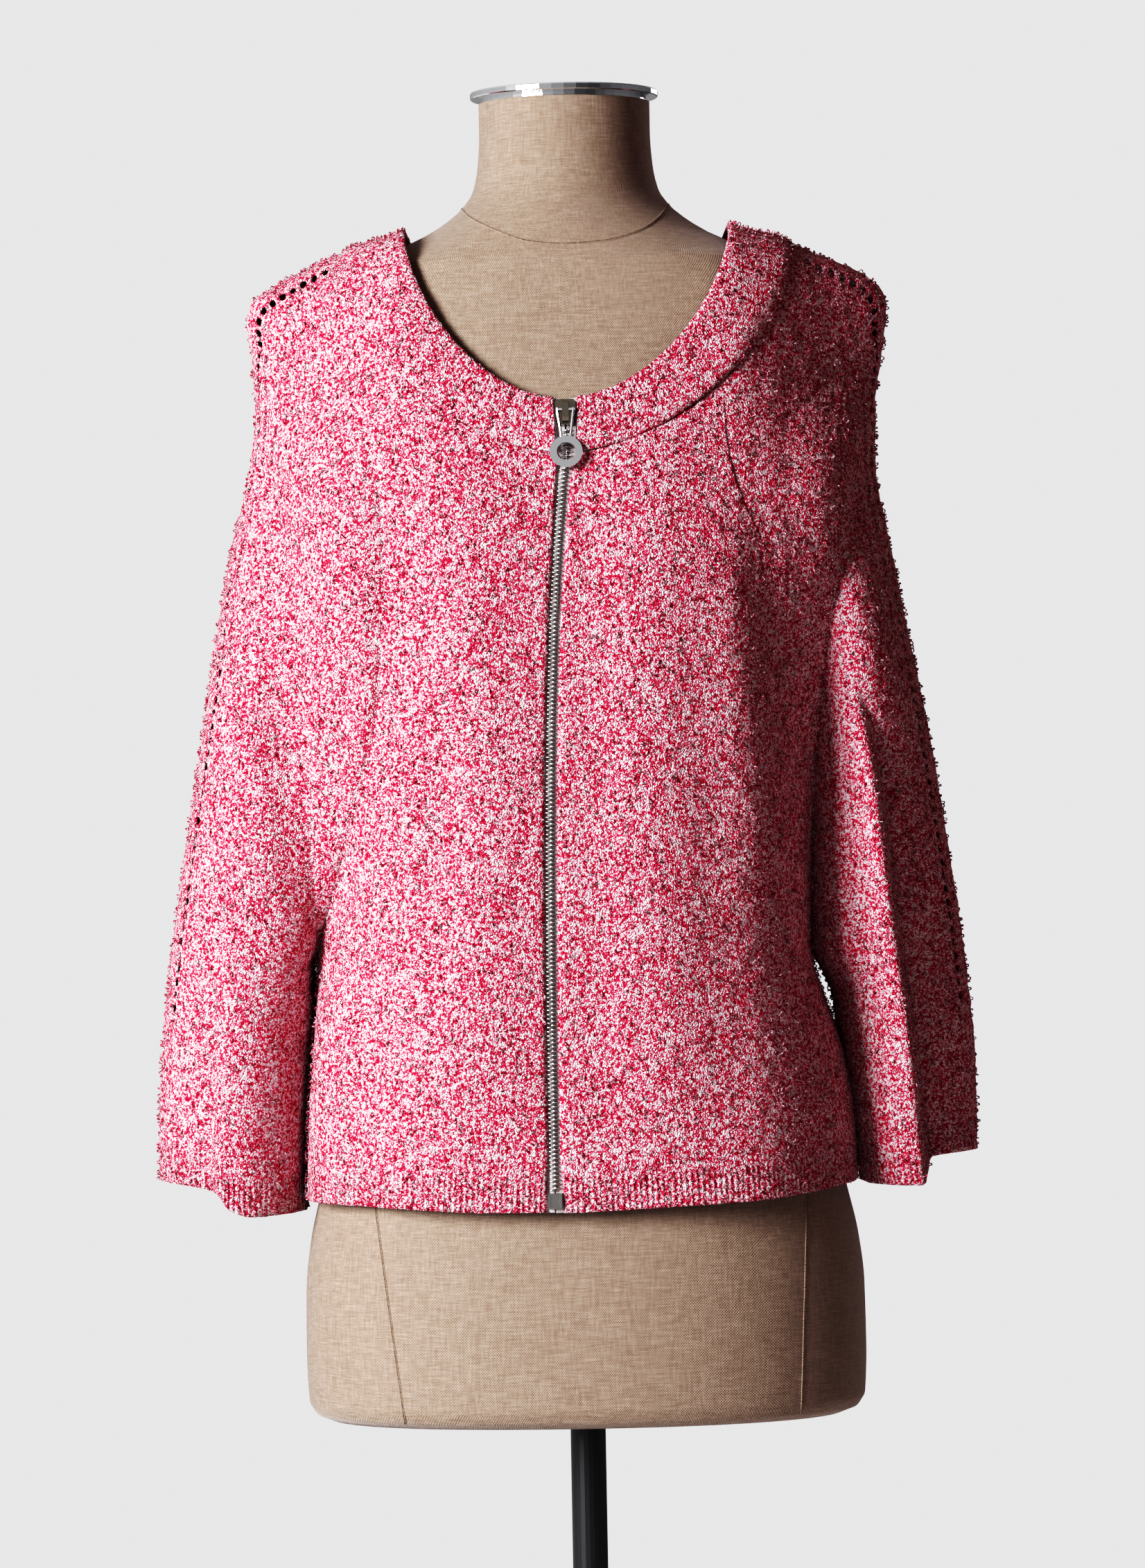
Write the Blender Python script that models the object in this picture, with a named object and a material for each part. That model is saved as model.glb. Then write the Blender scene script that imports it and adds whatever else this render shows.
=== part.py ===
"""A bouclé knit cardigan with dolman sleeves and a front zip, on a linen-covered dress form and stand.

Metres, +Z up. The cardigan's front faces -Y, and +X is the wearer's left. The origin is under the
middle of the stand's plate. The cloth is one surface, worked out from the sections below, and each
panel is a wall cut from it, so that neighbours meet along the same line.
"""

import math

import bpy
import numpy as np

SHARP_ANGLE = math.radians(35)

# Stand
PLATE_RADIUS = 0.160
PLATE_THICKNESS = 0.006
PLATE_BEVEL = 0.0015
POLE_RADIUS = 0.011
COLLAR_RADIUS = 0.019
COLLAR_HEIGHT = 0.022
SEAT_GAP = 0.0003
PLATE_SIDES = 48
POLE_SIDES = 24

# Cloth
WALL = 0.0022
SEAM_GAP = 0.0003
BAND_GAP = 0.0005
SIDES = (-1, 1)
WEARER_SIDE = {-1: "right", 1: "left"}

# Half width of the whole cardigan at each height: the shoulder's slope, its corner, the sleeve's edge
OUTLINE = {
    -1: (
        ("height", "half_width"),
        (0.808, 0.2648), (0.850, 0.2640), (0.900, 0.2605), (0.950, 0.2545), (1.010, 0.2450),
        (1.080, 0.2335), (1.150, 0.2220), (1.205, 0.2115), (1.250, 0.2000), (1.290, 0.1955),
        (1.325, 0.1968), (1.346, 0.2000), (1.357, 0.1965), (1.3635, 0.1880), (1.3690, 0.1790),
        (1.3760, 0.1650), (1.3870, 0.1400), (1.3935, 0.1190), (1.3995, 0.1000),
    ),
    1: (
        ("height", "half_width"),
        (0.818, 0.2466), (0.860, 0.2465), (0.900, 0.2446), (0.950, 0.2395), (1.010, 0.2312),
        (1.080, 0.2205), (1.150, 0.2072), (1.205, 0.1970), (1.250, 0.1898), (1.290, 0.1905),
        (1.325, 0.1958), (1.348, 0.1985), (1.359, 0.1950), (1.3660, 0.1870), (1.3715, 0.1780),
        (1.3785, 0.1600), (1.3870, 0.1400), (1.3935, 0.1190), (1.3995, 0.1000),
    ),
}

# Sections of the body's tube: depth in front and behind, and half width on each side
BODY = (
    ("height", "front", "back"),
    (0.790, 0.1230, 0.1250), (0.850, 0.1240, 0.1230), (0.886, 0.1250, 0.1200), (0.920, 0.1260, 0.1165),
    (0.953, 0.1265, 0.1135), (1.000, 0.1275, 0.1090), (1.080, 0.1290, 0.1060), (1.160, 0.1290, 0.1060),
    (1.210, 0.1230, 0.1080), (1.260, 0.1120, 0.1070), (1.300, 0.1030, 0.1030), (1.340, 0.0940, 0.0970),
    (1.370, 0.0860, 0.0890), (1.3995, 0.0760, 0.0790),
)
BODY_WIDTH = {
    -1: (
        ("height", "half_width"),
        (0.790, 0.1730), (0.850, 0.1705), (0.886, 0.1665), (0.920, 0.1635), (0.953, 0.1632),
        (1.000, 0.1640), (1.080, 0.1665), (1.160, 0.1712), (1.210, 0.1790), (1.260, 0.1880),
        (1.300, 0.1950), (1.340, 0.1990), (1.370, 0.1780), (1.3995, 0.1000),
    ),
    1: (
        ("height", "half_width"),
        (0.790, 0.1725), (0.850, 0.1700), (0.886, 0.1635), (0.920, 0.1520), (0.953, 0.1440),
        (1.000, 0.1455), (1.080, 0.1500), (1.160, 0.1610), (1.210, 0.1730), (1.260, 0.1870),
        (1.300, 0.1950), (1.340, 0.1990), (1.370, 0.1780), (1.3995, 0.1000),
    ),
}

# Sections of the sleeves' tubes: inner edge, depth in front, depth behind, middle's setback
SLEEVE = {
    -1: (
        ("height", "inner", "front", "back", "setback"),
        (0.785, 0.1750, 0.058, 0.040, 0.010),
        (0.850, 0.1722, 0.060, 0.041, 0.009),
        (0.886, 0.1690, 0.061, 0.042, 0.008),
        (0.915, 0.1666, 0.062, 0.044, 0.007),
        (0.944, 0.1672, 0.064, 0.047, 0.005),
        (0.953, 0.1632, 0.065, 0.048, 0.005),
        (1.020, 0.1420, 0.073, 0.056, 0.003),
        (1.110, 0.1200, 0.072, 0.060, 0.001),
        (1.200, 0.1150, 0.060, 0.052, 0.000),
        (1.270, 0.1250, 0.035, 0.034, 0.000),
        (1.330, 0.1400, 0.000, 0.000, 0.000),
        (1.400, 0.1400, 0.000, 0.000, 0.000),
    ),
    1: (
        ("height", "inner", "front", "back", "setback"),
        (0.798, 0.1740, 0.060, 0.036, 0.010),
        (0.860, 0.1640, 0.062, 0.037, 0.009),
        (0.920, 0.1580, 0.064, 0.040, 0.007),
        (0.953, 0.1440, 0.066, 0.044, 0.005),
        (1.020, 0.1405, 0.074, 0.052, 0.003),
        (1.110, 0.1380, 0.074, 0.056, 0.001),
        (1.200, 0.1330, 0.060, 0.050, 0.000),
        (1.270, 0.1300, 0.035, 0.034, 0.000),
        (1.330, 0.1400, 0.000, 0.000, 0.000),
        (1.400, 0.1400, 0.000, 0.000, 0.000),
    ),
}
BODY_SQUARENESS = 2.25
SLEEVE_ROUNDNESS = {-1: 0.44, 1: 0.60}
SLEEVE_CREST_POWER = {-1: 0.66, 1: 0.90}
UNION_POWER = 3.0
SHOULDER_THINNING = {"share": 0.50, "across": 0.095, "across_run": 0.105, "height": 1.22, "height_run": 0.10}
SHOULDER_HEIGHT = 1.335
SETBACK_START = 0.10
SETBACK_RUN = 0.06
FOLD_END_POWER = 1.3
FOLD_FADE = 0.03
UNDERARM_HEIGHT = 0.953

# Below the underarm the body's side seam lies forward and the sleeve's inner seam back
SEAM_SPREAD = {-1: {"body": -0.018, "sleeve": 0.014}, 1: {"body": 0.0, "sleeve": 0.0}}
SPREAD_DROP = 0.060
SPREAD_REACH = 0.045

# Where the front and back dip towards the underarm
DIP_LINE = {
    -1: (
        ("height", "across"), (0.953, 0.1632), (1.000, 0.1580), (1.048, 0.1490), (1.094, 0.1370),
        (1.170, 0.1150), (1.300, 0.0935), (1.400, 0.0950),
    ),
    1: (
        ("height", "across"), (0.953, 0.1440), (1.000, 0.1435), (1.048, 0.1430), (1.094, 0.1400),
        (1.170, 0.1260), (1.300, 0.0935), (1.400, 0.0950),
    ),
}
SEAM_END = 0.801
BORDER_TURN = 0.140

# Folds in the sleeves' fronts: a step down towards the outer edge
STEP = {
    -1: (
        ("height", "place", "share"), (0.785, 0.2290, 0.22), (0.900, 0.2240, 0.12), (1.000, 0.2150, 0.0),
        (1.400, 0.2000, 0.0),
    ),
    1: (
        ("height", "place", "share"), (0.795, 0.2135, 0.48), (0.892, 0.2050, 0.46), (0.977, 0.1945, 0.40),
        (1.063, 0.1840, 0.24), (1.130, 0.1710, 0.0), (1.400, 0.1700, 0.0),
    ),
}
STEP_RUN = 0.007

# Soft troughs and ridges: where each runs, how deep it is at its middle and how wide
FOLDS = (
    ("side", "layer", "top", "bottom", "across_top", "across_bottom", "depth", "width"),
    (-1, "front", 1.185, 0.945, 0.190, 0.1655, -0.008, 0.014),
    (-1, "front", 1.170, 0.975, 0.136, 0.156, -0.007, 0.012),
    (-1, "front", 1.220, 1.020, 0.100, 0.118, -0.004, 0.020),
    (-1, "front", 1.150, 0.900, 0.075, 0.088, -0.005, 0.016),
    (1, "front", 1.240, 0.980, 0.092, 0.128, -0.010, 0.020),
    (1, "front", 1.200, 0.930, 0.140, 0.176, 0.008, 0.014),
    (1, "front", 1.130, 0.860, 0.066, 0.078, -0.004, 0.018),
    (-1, "back", 1.240, 0.960, 0.090, 0.120, -0.010, 0.022),
    (-1, "back", 1.180, 0.880, 0.050, 0.058, -0.006, 0.020),
    (-1, "back", 1.180, 0.830, 0.190, 0.212, 0.006, 0.014),
    (1, "back", 1.240, 0.970, 0.094, 0.124, -0.010, 0.022),
    (1, "back", 1.150, 0.850, 0.040, 0.062, -0.005, 0.020),
    (1, "back", 1.160, 0.830, 0.184, 0.204, 0.006, 0.014),
)

# The zip's line down the front, and the knit's distance from it
ZIP_LINE = (
    ("height", "across", "parting"),
    (0.780, -0.0175, 0.0058), (0.806, -0.0175, 0.0049), (0.830, -0.0175, 0.0036), (0.900, -0.0174, 0.0036),
    (0.983, -0.0167, 0.0036), (1.066, -0.0150, 0.0036), (1.150, -0.0115, 0.0036), (1.192, -0.0085, 0.0037),
    (1.234, -0.0050, 0.0042), (1.257, -0.0025, 0.0058), (1.268, -0.0025, 0.0070), (1.300, -0.0028, 0.0070),
)

# Neckline and the seam below its band, each a squarish quarter oval from the middle to the shoulder
NECK = {
    "front": {"edge": (0.1000, 0.1105, 1.3995), "seam": (0.1400, 0.1320, 1.3870), "power": 1.7},
    "back": {"edge": (0.1000, 0.0270, 1.3995), "seam": (0.1400, 0.0560, 1.3870), "power": 2.0},
}
BAND_ROWS = 4
BAND_RISE = {-1: 0.0008, 1: 0.0022}
BAND_WALL = 0.0028
BAND_CREST = {"low": 0.55, "start": 0.35, "run": 1.1}

# Bottom edges: height across the panel, from the middle out
HEM = {
    -1: (
        ("across", "front", "back"),
        (0.000, 0.7930, 0.7935), (0.060, 0.7935, 0.7940), (0.110, 0.7955, 0.7965),
        (0.175, 0.7980, 0.7980),
    ),
    1: (
        ("across", "front", "back"),
        (0.000, 0.7930, 0.7935), (0.060, 0.7955, 0.7950), (0.110, 0.7975, 0.7985),
        (0.175, 0.8045, 0.8045),
    ),
}
CUFF = {
    -1: (
        ("across", "front", "back"),
        (0.170, 0.7900, 0.7900), (0.206, 0.7885, 0.7960), (0.219, 0.7930, 0.8000),
        (0.228, 0.8040, 0.8040), (0.266, 0.8100, 0.8100),
    ),
    1: (
        ("across", "front", "back"),
        (0.170, 0.8040, 0.8040), (0.180, 0.8015, 0.8060), (0.209, 0.8010, 0.8120),
        (0.217, 0.8170, 0.8170), (0.249, 0.8200, 0.8200),
    ),
}

# Panel grids
BODY_COLUMNS = 7
SLEEVE_COLUMNS = 7
ROWS_ABOVE = (
    0.0, 0.045, 0.09, 0.13, 0.17, 0.22, 0.275, 0.335, 0.395, 0.455, 0.515, 0.575, 0.635, 0.675, 0.700,
)
ROWS_BELOW = (0.735, 0.780, 0.835, 0.890, 0.945, 1.0)
UNDERARM_ROW = ROWS_ABOVE[-1]
BORDER = 0.018
BODY_SPREAD_POWER = 0.9
SLEEVE_SPREAD_TURN = 0.86 * math.pi
NECK_BLEND = 0.16
EDGE_HEIGHTS = np.linspace(1.3600, 1.3995, 80)
FOLD_LINE_POINTS = 4000

# Eyelets along the shoulder and sleeve
EYELET_PITCH = 0.00845
EYELET_LENGTH = 0.0050
EYELET_START = 0.012
EYELETS = (
    ("along", "inset", "width"), (0.000, 0.0095, 0.0046), (0.075, 0.0092, 0.0046), (0.110, 0.0026, 0.0015),
    (0.240, 0.0028, 0.0015), (0.290, 0.0058, 0.0023), (0.640, 0.0060, 0.0024),
)
EYELET_RUN = 0.515
EYELET_CORNER = 1 / 4.5

# Dress form: sections of the torso and neck
FORM = (
    ("height", "half_width", "front", "back", "squareness"),
    (0.6590, 0.1600, 0.0980, 0.1020, 2.25), (0.6625, 0.1690, 0.1065, 0.1105, 2.25),
    (0.6710, 0.1738, 0.1112, 0.1152, 2.25), (0.7000, 0.1750, 0.1125, 0.1165, 2.25),
    (0.7400, 0.1745, 0.1120, 0.1160, 2.25), (0.7700, 0.1712, 0.1105, 0.1148, 2.25),
    (0.8000, 0.1645, 0.1070, 0.1115, 2.25), (0.8300, 0.1580, 0.1040, 0.1080, 2.25),
    (0.8700, 0.1510, 0.1010, 0.1030, 2.25), (0.9100, 0.1380, 0.0970, 0.0970, 2.25),
    (0.9530, 0.1270, 0.0945, 0.0915, 2.25), (1.0000, 0.1210, 0.0930, 0.0865, 2.25),
    (1.0500, 0.1235, 0.0960, 0.0855, 2.25), (1.1000, 0.1300, 0.1030, 0.0870, 2.25),
    (1.1500, 0.1380, 0.1115, 0.0895, 2.25), (1.1900, 0.1440, 0.1160, 0.0905, 2.25),
    (1.2300, 0.1500, 0.1125, 0.0920, 2.25), (1.2700, 0.1580, 0.1048, 0.0925, 2.25),
    (1.3100, 0.1690, 0.0960, 0.0905, 2.25), (1.3350, 0.1760, 0.0905, 0.0885, 2.25),
    (1.3480, 0.1760, 0.0875, 0.0870, 2.25), (1.3590, 0.1700, 0.0855, 0.0855, 2.25),
    (1.3680, 0.1580, 0.0835, 0.0840, 2.25), (1.3773, 0.1430, 0.0810, 0.0820, 2.25),
    (1.3817, 0.1260, 0.0785, 0.0795, 2.22), (1.3890, 0.1060, 0.0755, 0.0765, 2.18),
    (1.3960, 0.0900, 0.0722, 0.0735, 2.12), (1.4040, 0.0770, 0.0680, 0.0695, 2.08),
    (1.4120, 0.0670, 0.0632, 0.0655, 2.04), (1.4240, 0.0583, 0.0578, 0.0605, 2.0),
    (1.4400, 0.0548, 0.0540, 0.0560, 2.0), (1.4600, 0.0535, 0.0528, 0.0540, 2.0),
    (1.4790, 0.0535, 0.0528, 0.0535, 2.0),
)
FORM_SIDES = 40
FORM_THINNING = {"share": 0.60, "across": 0.090, "across_run": 0.100, "height": 1.20, "height_run": 0.12}
CAP_RECESS = (0.0515, 0.0028)
CAP_RIM = (0.0588, 0.0042)
CAP_DOME = 0.0016
CAP_BEVEL = (0.0006, 0.0008)
CAP_TOP = ((0.0294, 0.75), (0.0040, 1.0))
COLLAR_BEVEL = 0.002

# Zip
TAPE_WALL = 0.0009
TAPE_WIDTH = 0.0080
CHAIN_HALF = 0.0032
CHAIN_FRONT = 0.0014
BOX = {
    "half_width": 0.00425, "bottom": 0.7955, "top": 0.8050, "front": 0.0024, "rim": 0.0012, "recess": 0.0007,
}
SLIDER = {
    "middle": 1.2790, "length": 0.0160, "top_half": 0.0063, "bottom_half": 0.0045,
    "back": -0.0009, "front": 0.0032,
    "bridge_half": 0.0020, "bridge_length": 0.0130, "bridge_height": 0.0042, "bridge_wall": 0.0013,
}
PULL = {
    "pin_rise": 0.0012, "pin_out": 0.0047, "rod": 0.0009, "half_width": 0.0050, "drop": 0.0272,
    "ring": 0.0100, "hole": 0.0057, "thickness": 0.0020, "neck_half": 0.0026, "ring_out": 0.0057,
}
SLIDER_OUTLINE = {"waist": 0.1, "corner": 0.8}
BRIDGE_ARCH = {"shoulder": 0.6, "crown": 0.7, "inner_shoulder": 0.45, "inner_crown": 0.55}
CUT_SPARE = 0.002
BRIDGE_SINK = 0.001
CHAIN_ROW_SPARE = 0.004
ZIP_SLOPE_REACH = 0.008
PULL_FOOT_LAP = 0.0018
PULL_LEG_TOP = 0.7
RING_SIDES = 32
ROD_SIDES = 8


def column(table, name):
    """One named column of a table whose first row holds the names."""
    place = table[0].index(name)
    return np.array([row[place] for row in table[1:]], float)


def read(table, name, at, by="height"):
    """A table's column as a smooth curve through its rows, with no overshoot between them."""
    knots, values = column(table, by), column(table, name)
    at = np.clip(np.asarray(at, float), knots[0], knots[-1])
    run = np.diff(knots)
    slope = np.diff(values) / run
    before, after = slope[:-1], slope[1:]
    total = np.where(before + after == 0, 1, before + after)
    inner = np.where(before * after > 0, 2 * before * after / total, 0)
    tangent = np.concatenate([slope[:1], inner, slope[-1:]])
    i = np.clip(np.searchsorted(knots, at, side="right") - 1, 0, len(run) - 1)
    t = (at - knots[i]) / run[i]
    return (
        values[i] * (1 + 2 * t) * (1 - t) ** 2
        + tangent[i] * run[i] * t * (1 - t) ** 2
        + values[i + 1] * t**2 * (3 - 2 * t)
        - tangent[i + 1] * run[i] * t**2 * (1 - t)
    )


def ease(t):
    """0 to 1 with flat ends."""
    t = np.clip(t, 0, 1)
    return t * t * (3 - 2 * t)


def thinned(thinning, across, height):
    """Share of the depth that is left towards the shoulders' ends."""
    outwards = ease((np.abs(across) - thinning["across"]) / thinning["across_run"])
    return 1 - thinning["share"] * outwards * ease((height - thinning["height"]) / thinning["height_run"])


def edge_height(side, across):
    """Height of the shoulder's slope at a distance from the middle."""
    widths = read(OUTLINE[side], "half_width", EDGE_HEIGHTS)
    return np.interp(-np.asarray(across), -widths, EDGE_HEIGHTS)


def border_line(side):
    """The fold from the neckband over the shoulder and down the sleeve: heights, distances, length along."""
    start = NECK["front"]["seam"][2]
    end = column(OUTLINE[side], "height")[0]
    heights = np.linspace(start, end, FOLD_LINE_POINTS)
    across = read(OUTLINE[side], "half_width", heights)
    along = np.concatenate([[0], np.cumsum(np.hypot(np.diff(heights), np.diff(across)))])
    return heights, across, along


BORDER_LINES = {side: border_line(side) for side in SIDES}


def border_point(side, along):
    heights, across, run = BORDER_LINES[side]
    return np.interp(along, run, across), np.interp(along, run, heights)


def border_length(side):
    return BORDER_LINES[side][2][-1]


def oval(t, sizes, power):
    """Quarter oval from the middle, t = 0, to the shoulder, t = 1: distance across, and drop below it."""
    angle = np.clip(t, 0, 1) * math.pi / 2
    return sizes[0] * np.sin(angle) ** (2 / power), sizes[1] * np.cos(angle) ** (2 / power)


def tube(t, power):
    """Height of a superellipse over its half width."""
    return np.clip(1 - np.clip(t, 0, 1) ** power, 0, 1) ** (1 / power)


def depth(side, layer, across, height):
    """How far the cloth lies in front of, or behind, its middle: body and sleeve tubes joined, then folds."""
    outline = read(OUTLINE[side], "half_width", height)
    width = np.minimum(read(BODY_WIDTH[side], "half_width", height), outline)
    width = np.where(height > SHOULDER_HEIGHT, outline, width)
    body = read(BODY, layer, height) * tube(np.abs(across) / width, BODY_SQUARENESS)
    body = body * thinned(SHOULDER_THINNING, across, height)
    inner = read(SLEEVE[side], "inner", height)
    t = np.clip((across - inner) / np.maximum(outline - inner, 1e-6), 0, 1) ** SLEEVE_CREST_POWER[side]
    sleeve = read(SLEEVE[side], layer, height) * (4 * t * (1 - t)) ** SLEEVE_ROUNDNESS[side]
    if layer == "front":
        step = ease((across - read(STEP[side], "place", height)) / STEP_RUN + 0.5)
        sleeve = sleeve * (1 - step * read(STEP[side], "share", height))
    joined = (body**UNION_POWER + sleeve**UNION_POWER) ** (1 / UNION_POWER)
    fade = np.clip(joined / FOLD_FADE, 0, 1)
    for row in FOLDS[1:]:
        fold = dict(zip(FOLDS[0], row))
        if fold["side"] != side or fold["layer"] != layer:
            continue
        t = (fold["top"] - height) / (fold["top"] - fold["bottom"])
        middle = fold["across_top"] + (fold["across_bottom"] - fold["across_top"]) * t
        strength = np.sin(math.pi * np.clip(t, 0, 1)) ** FOLD_END_POWER
        across_it = np.exp(-(((across - middle) / fold["width"]) ** 2))
        joined = joined + fade * fold["depth"] * strength * across_it
    return joined


def setback(side, across, height):
    """How far the middle lies behind the shoulder's, with the seams below the underarm set apart."""
    share = ease((across - SETBACK_START) / SETBACK_RUN)
    width, inner = read(BODY_WIDTH[side], "half_width", height), read(SLEEVE[side], "inner", height)
    on_body = across < (width + inner) / 2
    near_body = SEAM_SPREAD[side]["body"] * ease((across - width) / SPREAD_REACH + 1)
    near_sleeve = SEAM_SPREAD[side]["sleeve"] * ease((inner - across) / SPREAD_REACH + 1)
    spread = np.where(on_body, near_body, near_sleeve) * ease((UNDERARM_HEIGHT - height) / SPREAD_DROP)
    return read(SLEEVE[side], "setback", height) * share + spread


def cloth(side, layer, across, height):
    """Points of the cloth's middle surface."""
    across, height = np.broadcast_arrays(np.asarray(across, float), np.asarray(height, float))
    out = depth(side, layer, across, height)
    y = setback(side, across, height) + (-out if layer == "front" else out)
    return np.stack([side * across, y, height], -1)


def zip_edge(side, height):
    """Distance of the knit's edge beside the zip from the middle, negative past it."""
    return side * read(ZIP_LINE, "across", height) + read(ZIP_LINE, "parting", height)


def seam_point(side, layer, t, which="seam"):
    """Point on the neckline's edge, or on the seam below the band."""
    sizes, power = NECK[layer][which], NECK[layer]["power"]
    across, drop = oval(t, sizes, power)
    height = sizes[2] - drop
    if layer == "front":
        start = zip_edge(side, height)
        across = start * (1 - across / sizes[0]) + across
    return np.array([across, height])


def border_start(side, layer):
    """How far along the neck seam the border begins, and the step from the fold to there."""
    sizes, power = NECK[layer]["seam"], NECK[layer]["power"]
    t = math.acos((BORDER / sizes[1]) ** (power / 2)) / (math.pi / 2)
    return t, seam_point(side, layer, t) - np.array(border_point(side, 0.0))


def hang(side, part, layer, v, point, last):
    """Drops a point towards the hem or cuff, so that the last row ends on its edge line."""
    table = {"body": HEM, "sleeve": CUFF}[part][side]
    share = np.clip((v - UNDERARM_ROW) / (1 - UNDERARM_ROW), 0, 1) ** 2
    end = read(table, layer, last[0], by="across")
    return np.array([point[0], point[1] + share * (end - last[1])])


def fold_point(side, v):
    """Point of the fold line that parts front from back."""
    point = np.array(border_point(side, v * border_length(side)))
    last = np.array(border_point(side, border_length(side)))
    return hang(side, "sleeve", "front", v, point, last)


def border_inner(side, layer, v):
    """Inner edge of the border, whose direction turns from down at the neck to inwards on the sleeve."""
    first = border_start(side, layer)[1]
    turn = ease(v * border_length(side) / BORDER_TURN)
    size = math.hypot(*first) * (1 - turn) + BORDER * turn
    angle = math.atan2(-first[1], -first[0]) * (1 - turn)
    step = -size * np.array([math.cos(angle), math.sin(angle)])
    point, last = (np.array(border_point(side, w * border_length(side))) + step for w in (v, 1.0))
    return hang(side, "sleeve", layer, v, point, last)


def dip_point(side, layer, v, part):
    """Point that parts body from sleeve: the dip above the underarm, the two seams below it."""
    if v <= UNDERARM_ROW:
        top = seam_point(side, layer, 0.5)
        t = v / UNDERARM_ROW
        height = top[1] + (UNDERARM_HEIGHT - top[1]) * t
        across = float(read(DIP_LINE[side], "across", height))
        return np.array([across + (top[0] - across) * (1 - ease(4 * v)), height])
    t = (v - UNDERARM_ROW) / (1 - UNDERARM_ROW)
    height = UNDERARM_HEIGHT + (SEAM_END - UNDERARM_HEIGHT) * t
    table, name = (BODY_WIDTH[side], "half_width") if part == "body" else (SLEEVE[side], "inner")
    return np.array([float(read(table, name, height)), height])


def middle_point(side, layer, v):
    """Point of the zip's edge in front, or of the centre back."""
    top = seam_point(side, layer, 0.0)
    bottom = read(HEM[side], layer, 0.0, by="across")
    height = top[1] + (bottom - top[1]) * v
    return np.array([zip_edge(side, height) if layer == "front" else 0.0, height])


def bend(a, b, c, t):
    """Quadratic curve from a to c that leaves towards b."""
    t = np.asarray(t)[:, None]
    return a * (1 - t) ** 2 + 2 * b * t * (1 - t) + c * t**2


def column_spread():
    """Where the columns lie across the body's part of a row, and across the sleeve's, from 0 to 1."""
    body = np.sin(np.linspace(0, 1, BODY_COLUMNS + 1) * math.pi / 2) ** BODY_SPREAD_POWER
    sleeve = 0.5 - 0.5 * np.cos(np.linspace(0, 1, SLEEVE_COLUMNS + 1) * SLEEVE_SPREAD_TURN)
    return body, sleeve / sleeve[-1]


def line(a, b, t):
    return a + (b - a) * t[:, None]


def row_points(side, layer, v):
    """One row of a panel, from its middle to its border: the body's columns, then the sleeve's."""
    first, last = middle_point(side, layer, v), border_inner(side, layer, v)
    spread_body, spread_sleeve = column_spread()
    above = v <= UNDERARM_ROW
    body_end, sleeve_start = dip_point(side, layer, v, "body"), dip_point(side, layer, v, "sleeve")
    knee = np.array([0.5 * (first[0] + body_end[0]), first[1]])
    body = bend(first, knee, body_end, spread_body)
    middle = 0.5 * (sleeve_start + last)
    sleeve = bend(sleeve_start, middle, last, spread_sleeve)
    start = ease(v / NECK_BLEND)
    if start < 1 and above:
        top = border_start(side, layer)[0]
        seam_body = np.array([seam_point(side, layer, 0.5 * t) for t in spread_body])
        seam_sleeve = np.array([seam_point(side, layer, 0.5 + (top - 0.5) * t) for t in spread_sleeve])
        bulge_body = seam_body - line(seam_body[0], seam_body[-1], spread_body)
        bulge_sleeve = seam_sleeve - line(seam_sleeve[0], seam_sleeve[-1], spread_sleeve)
        body = start * body + (1 - start) * (line(first, body_end, spread_body) + bulge_body)
        sleeve = start * sleeve + (1 - start) * (line(sleeve_start, last, spread_sleeve) + bulge_sleeve)
    return body, sleeve


def hung_row(side, layer, v):
    """A row with its drop towards the hem and cuff."""
    body, sleeve = row_points(side, layer, v)
    if v > UNDERARM_ROW:
        last_body, last_sleeve = row_points(side, layer, 1.0)
        seam = hang(side, "body", "front", v, body[-1], last_body[-1])
        underarm = hang(side, "sleeve", "front", v, sleeve[0], last_sleeve[0])
        body = [hang(side, "body", layer, v, p, q) for p, q in zip(body[:-1], last_body[:-1])]
        middle = [hang(side, "sleeve", layer, v, p, q) for p, q in zip(sleeve[1:-1], last_sleeve[1:-1])]
        body, sleeve = np.array(body + [seam]), np.array([underarm] + middle + [sleeve[-1]])
    return body, sleeve


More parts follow.
